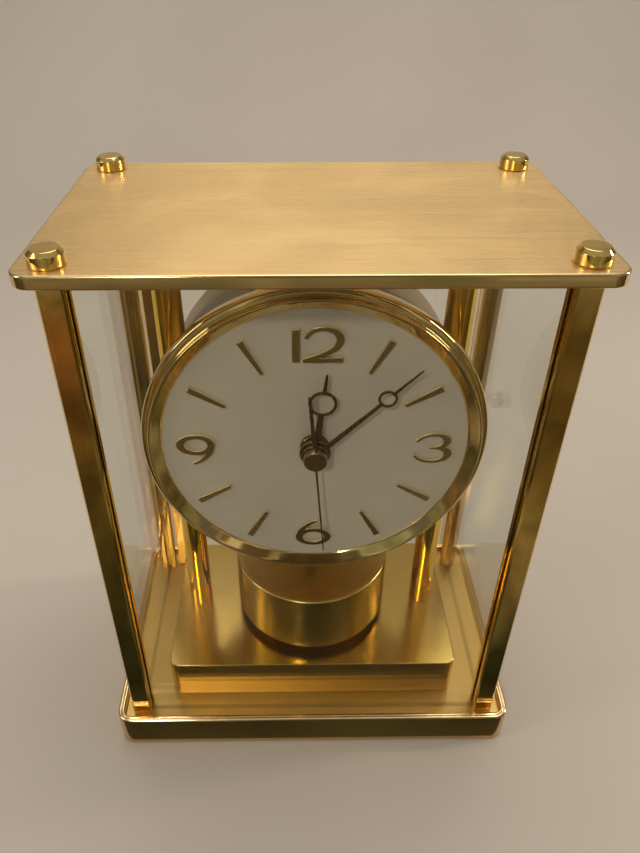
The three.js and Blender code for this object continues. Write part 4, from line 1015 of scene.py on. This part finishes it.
def flag(name):
    """Dark card on the floor in front, out of the camera's sight: only reflections see it, so polished faces keep their contrast.
    Olive near the clock, brown further off, one paler patch on the right."""
    me = bpy.data.meshes.new(name)
    y0, y1, n = -0.0555, -2.2, 40
    verts, faces = [], []
    for i in range(n + 1):
        y = y0 + (y1 - y0) * (i / n) ** 2
        verts += [(-2.0, y, 0.0006), (2.0, y, 0.0006)]
    for i in range(n):
        faces.append((2 * i, 2 * i + 1, 2 * i + 3, 2 * i + 2))
    me.from_pydata(verts, [], faces)
    ob = bpy.data.objects.new(name, me)
    bpy.context.scene.collection.objects.link(ob)
    t = NT(name)
    v = t.coords((1, 1, 1))
    sep = t.n("ShaderNodeSeparateXYZ")
    t.l(v, sep.inputs[0])
    y = sep.outputs["Y"]
    mid = t.range(y, -0.10, -0.24, 0.0, 1.0)
    far = t.range(y, -0.42, -0.56, 0.0, 1.0)
    col = t.mix(mid, (0.026, 0.029, 0.015), (0.085, 0.060, 0.026))
    col = t.mix(far, col, (0.19, 0.17, 0.11))

    def patch(col, at, r0, r1, amount, tint):
        d = t.n("ShaderNodeVectorMath", operation="DISTANCE")
        t.l(v, d.inputs[0])
        d.inputs[1].default_value = (*at, 0.0)
        return t.mix(t.math("MULTIPLY", t.range(d.outputs["Value"], r0, r1, 1.0, 0.0), amount), col, tint)

    col = patch(col, (0.11, -0.17), 0.02, 0.08, 0.7, (0.26, 0.21, 0.13))
    col = patch(col, (-0.24, -0.38), 0.04, 0.16, 0.7, (0.19, 0.085, 0.035))
    col = patch(col, (-0.055, -0.125), 0.012, 0.045, 0.8, (0.50, 0.38, 0.25))
    col = patch(col, (0.075, -0.12), 0.010, 0.035, 0.7, (0.34, 0.31, 0.22))
    cl = t.noise(v, 11, 3.0, 0.6, 0.8)
    hue = t.n("ShaderNodeHueSaturation")
    t.l(col, hue.inputs["Color"])
    t.l(t.range(cl, 0.35, 0.65, 0.5, 1.6), hue.inputs["Value"])
    e = t.n("ShaderNodeEmission")
    t.l(hue.outputs[0], e.inputs["Color"])
    tr = t.n("ShaderNodeBsdfTransparent")
    mx = t.n("ShaderNodeMixShader")
    t.l(t.range(y, -0.0555, -0.075, 0.88, 1.0), mx.inputs[0])
    t.l(tr.outputs[0], mx.inputs[1])
    t.l(e.outputs[0], mx.inputs[2])
    me.materials.append(t.done(mx))
    for k in ("visible_camera", "visible_diffuse", "visible_shadow", "visible_transmission"):
        setattr(ob, k, False)
    return ob


flag("front_flag")


def room_card():
    """Stands in for the dim room in front of the clock: soft cream, brown and dusky patches for the dished bezel and the nuts to mirror."""
    me = bpy.data.meshes.new("room_card")
    me.from_pydata([(-1.5, -1.15, 0.22), (1.5, -1.15, 0.22), (1.5, -1.15, 1.25), (-1.5, -1.15, 1.25)], [], [(0, 1, 2, 3)])
    ob = bpy.data.objects.new("room_card", me)
    bpy.context.scene.collection.objects.link(ob)
    t = NT("room_card")
    sep = t.n("ShaderNodeSeparateXYZ")
    t.l(t.coords((1, 1, 1)), sep.inputs[0])
    wob = t.noise(t.coords((1.2, 1, 1)), 3.4, 3.0, 0.6, 0.5)
    along = t.math("ADD", t.range(sep.outputs["X"], -1.5, 1.5, 0.0, 1.0), t.range(wob, 0.3, 0.7, -0.035, 0.035))
    band = t.n("ShaderNodeValToRGB")
    t.l(along, band.inputs[0])
    stops = [(0.0, (0.07, 0.06, 0.03)), (0.06, (0.10, 0.05, 0.03)), (0.085, (0.34, 0.19, 0.17)), (0.155, (0.30, 0.17, 0.15)), (0.175, (0.08, 0.06, 0.03)),
             (0.24, (0.10, 0.09, 0.05)), (0.27, (0.26, 0.26, 0.20)), (0.34, (0.30, 0.30, 0.26)), (0.36, (0.62, 0.56, 0.46)), (0.385, (0.16, 0.14, 0.09)),
             (0.44, (0.055, 0.034, 0.016)), (0.60, (0.048, 0.030, 0.014)), (0.62, (0.34, 0.27, 0.19)), (0.65, (0.09, 0.055, 0.028)), (0.70, (0.11, 0.065, 0.035)),
             (0.715, (0.60, 0.50, 0.42)), (0.755, (0.56, 0.46, 0.36)), (0.77, (0.14, 0.08, 0.045)), (0.80, (0.16, 0.09, 0.05)), (0.815, (0.62, 0.53, 0.45)),
             (0.86, (0.54, 0.44, 0.34)), (0.88, (0.10, 0.05, 0.025)), (1.0, (0.07, 0.06, 0.03))]
    el = band.color_ramp.elements
    el[0].position, el[0].color = stops[0][0], (*stops[0][1], 1)
    el[1].position, el[1].color = stops[-1][0], (*stops[-1][1], 1)
    for pos, c3 in stops[1:-1]:
        e1 = el.new(pos)
        e1.color = (*c3, 1)
    hue = t.n("ShaderNodeHueSaturation")
    t.l(band.outputs[0], hue.inputs["Color"])
    t.l(t.range(t.noise(t.coords((1, 1, 1)), 5.5, 2.0, 0.5, 0.3), 0.35, 0.65, 0.7, 1.3), hue.inputs["Value"])
    col = hue.outputs[0]
    e = t.n("ShaderNodeEmission")
    t.l(col, e.inputs["Color"])
    me.materials.append(t.done(e))
    for k in ("visible_camera", "visible_diffuse", "visible_shadow", "visible_transmission"):
        setattr(ob, k, False)


room_card()


def lip_card():
    """Dark strip just outside the front pane, seen only in reflections that leave the case: it draws the dark line along the top of the plinth's face."""
    me = bpy.data.meshes.new("lip_card")
    me.from_pydata([(-0.072, -0.0462, 0.0137), (0.072, -0.0462, 0.0137), (0.072, -0.0462, 0.026), (-0.072, -0.0462, 0.026)], [], [(3, 2, 1, 0)])
    ob = bpy.data.objects.new("lip_card", me)
    bpy.context.scene.collection.objects.link(ob)
    t = NT("lip_card")
    geo = t.n("ShaderNodeNewGeometry")
    tr = t.n("ShaderNodeBsdfTransparent")
    e = t.n("ShaderNodeEmission")
    e.inputs["Color"].default_value = (0.030, 0.027, 0.012, 1)
    mx = t.n("ShaderNodeMixShader")
    t.l(t.range(geo.outputs["Backfacing"], 0, 1, 0.86, 0.0), mx.inputs[0])
    t.l(tr.outputs[0], mx.inputs[1])
    t.l(e.outputs[0], mx.inputs[2])
    me.materials.append(t.done(mx))
    for k in ("visible_camera", "visible_diffuse", "visible_shadow", "visible_transmission"):
        setattr(ob, k, False)


lip_card()


def area(name, loc, target, size, power, color=(1, 1, 1), size_y=None, spread=None):
    ld = bpy.data.lights.new(name, "AREA")
    ld.shape = "RECTANGLE"
    ld.size = size
    ld.size_y = size_y or size
    ld.energy = power
    ld.color = color
    if spread:
        ld.spread = math.radians(spread)
    ob = bpy.data.objects.new(name, ld)
    ob.location = loc
    ob.rotation_mode = "QUATERNION"
    ob.rotation_quaternion = (Vector(target) - Vector(loc)).to_track_quat("-Z", "Y")
    bpy.context.scene.collection.objects.link(ob)
    return ob


area("overhead_softbox", (0.06, 0.30, 1.25), (0, 0.02, 0.15), 0.9, 7.4, (1.0, 0.91, 0.80))
area("left_softbox", (-1.1, -0.35, 0.75), (0, 0, 0.12), 0.4, 3.6, (1.0, 0.90, 0.78), 0.8)
area("front_bulb", (-0.30, -0.95, 0.95), (0, 0, 0.08), 0.07, 3.4, (1.0, 0.88, 0.72))
area("right_bulb", (1.0, 0.12, 0.55), (0, 0, 0.08), 0.12, 3.2, (1.0, 0.88, 0.72), 0.3)
area("wall_wash", (0.0, 0.35, 1.6), (0, 1.1, 0.5), 1.2, 2.6, (1.0, 0.92, 0.82), 0.4)

world = bpy.data.worlds.new("studio_world")
bpy.context.scene.world = world
world.use_nodes = True
wt = world.node_tree
wt.nodes.clear()
wo = wt.nodes.new("ShaderNodeOutputWorld")
bg = wt.nodes.new("ShaderNodeBackground")
tc = wt.nodes.new("ShaderNodeTexCoord")
sep = wt.nodes.new("ShaderNodeSeparateXYZ")
wt.links.new(tc.outputs["Generated"], sep.inputs[0])
mr = wt.nodes.new("ShaderNodeMapRange")
mr.inputs["From Min"].default_value = -0.1
mr.inputs["From Max"].default_value = 0.9
wt.links.new(sep.outputs["Z"], mr.inputs["Value"])
cr = wt.nodes.new("ShaderNodeValToRGB")
cr.color_ramp.elements[0].position = 0.0
cr.color_ramp.elements[0].color = (0.10, 0.085, 0.07, 1)
cr.color_ramp.elements[1].position = 1.0
cr.color_ramp.elements[1].color = (0.34, 0.32, 0.30, 1)
wt.links.new(mr.outputs[0], cr.inputs[0])
wt.links.new(cr.outputs[0], bg.inputs[0])
bg.inputs[1].default_value = 1.0
wt.links.new(bg.outputs[0], wo.inputs[0])

# ------------------------------------------------------------------ camera, solved from the case edges
F_PX, CX, CY, W_PX, H_PX = 716.4, 300.95, 426.49, 640, 853
pitch, yaw, roll = math.radians(36.2) - 0.0013371, 0.0131625, -0.0015149
fwd = Vector((math.sin(yaw) * math.cos(pitch), math.cos(yaw) * math.cos(pitch), -math.sin(pitch)))
right = Vector((math.cos(yaw), -math.sin(yaw), 0.0))
down = fwd.cross(right)
c, s = math.cos(roll), math.sin(roll)
r2, d2 = c * right + s * down, -s * right + c * down
cam = bpy.data.cameras.new("camera")
cam.sensor_width = 36.0
cam.lens = F_PX * 36.0 / H_PX
cam.shift_x = (W_PX / 2 - CX) / H_PX
cam.shift_y = -(H_PX / 2 - CY) / H_PX
cam.clip_start = 0.005
cam.clip_end = 50
co = bpy.data.objects.new("camera", cam)
rot = Matrix((r2, -d2, -fwd)).transposed().to_4x4()
co.matrix_world = Matrix.Translation(Vector((-8.1084, -235.1386, 311.3659)) * S) @ rot
bpy.context.scene.collection.objects.link(co)
bpy.context.scene.camera = co

bpy.context.scene.view_settings.view_transform = "Standard"
bpy.context.scene.view_settings.look = "None"
bpy.context.scene.view_settings.exposure = EXPOSURE
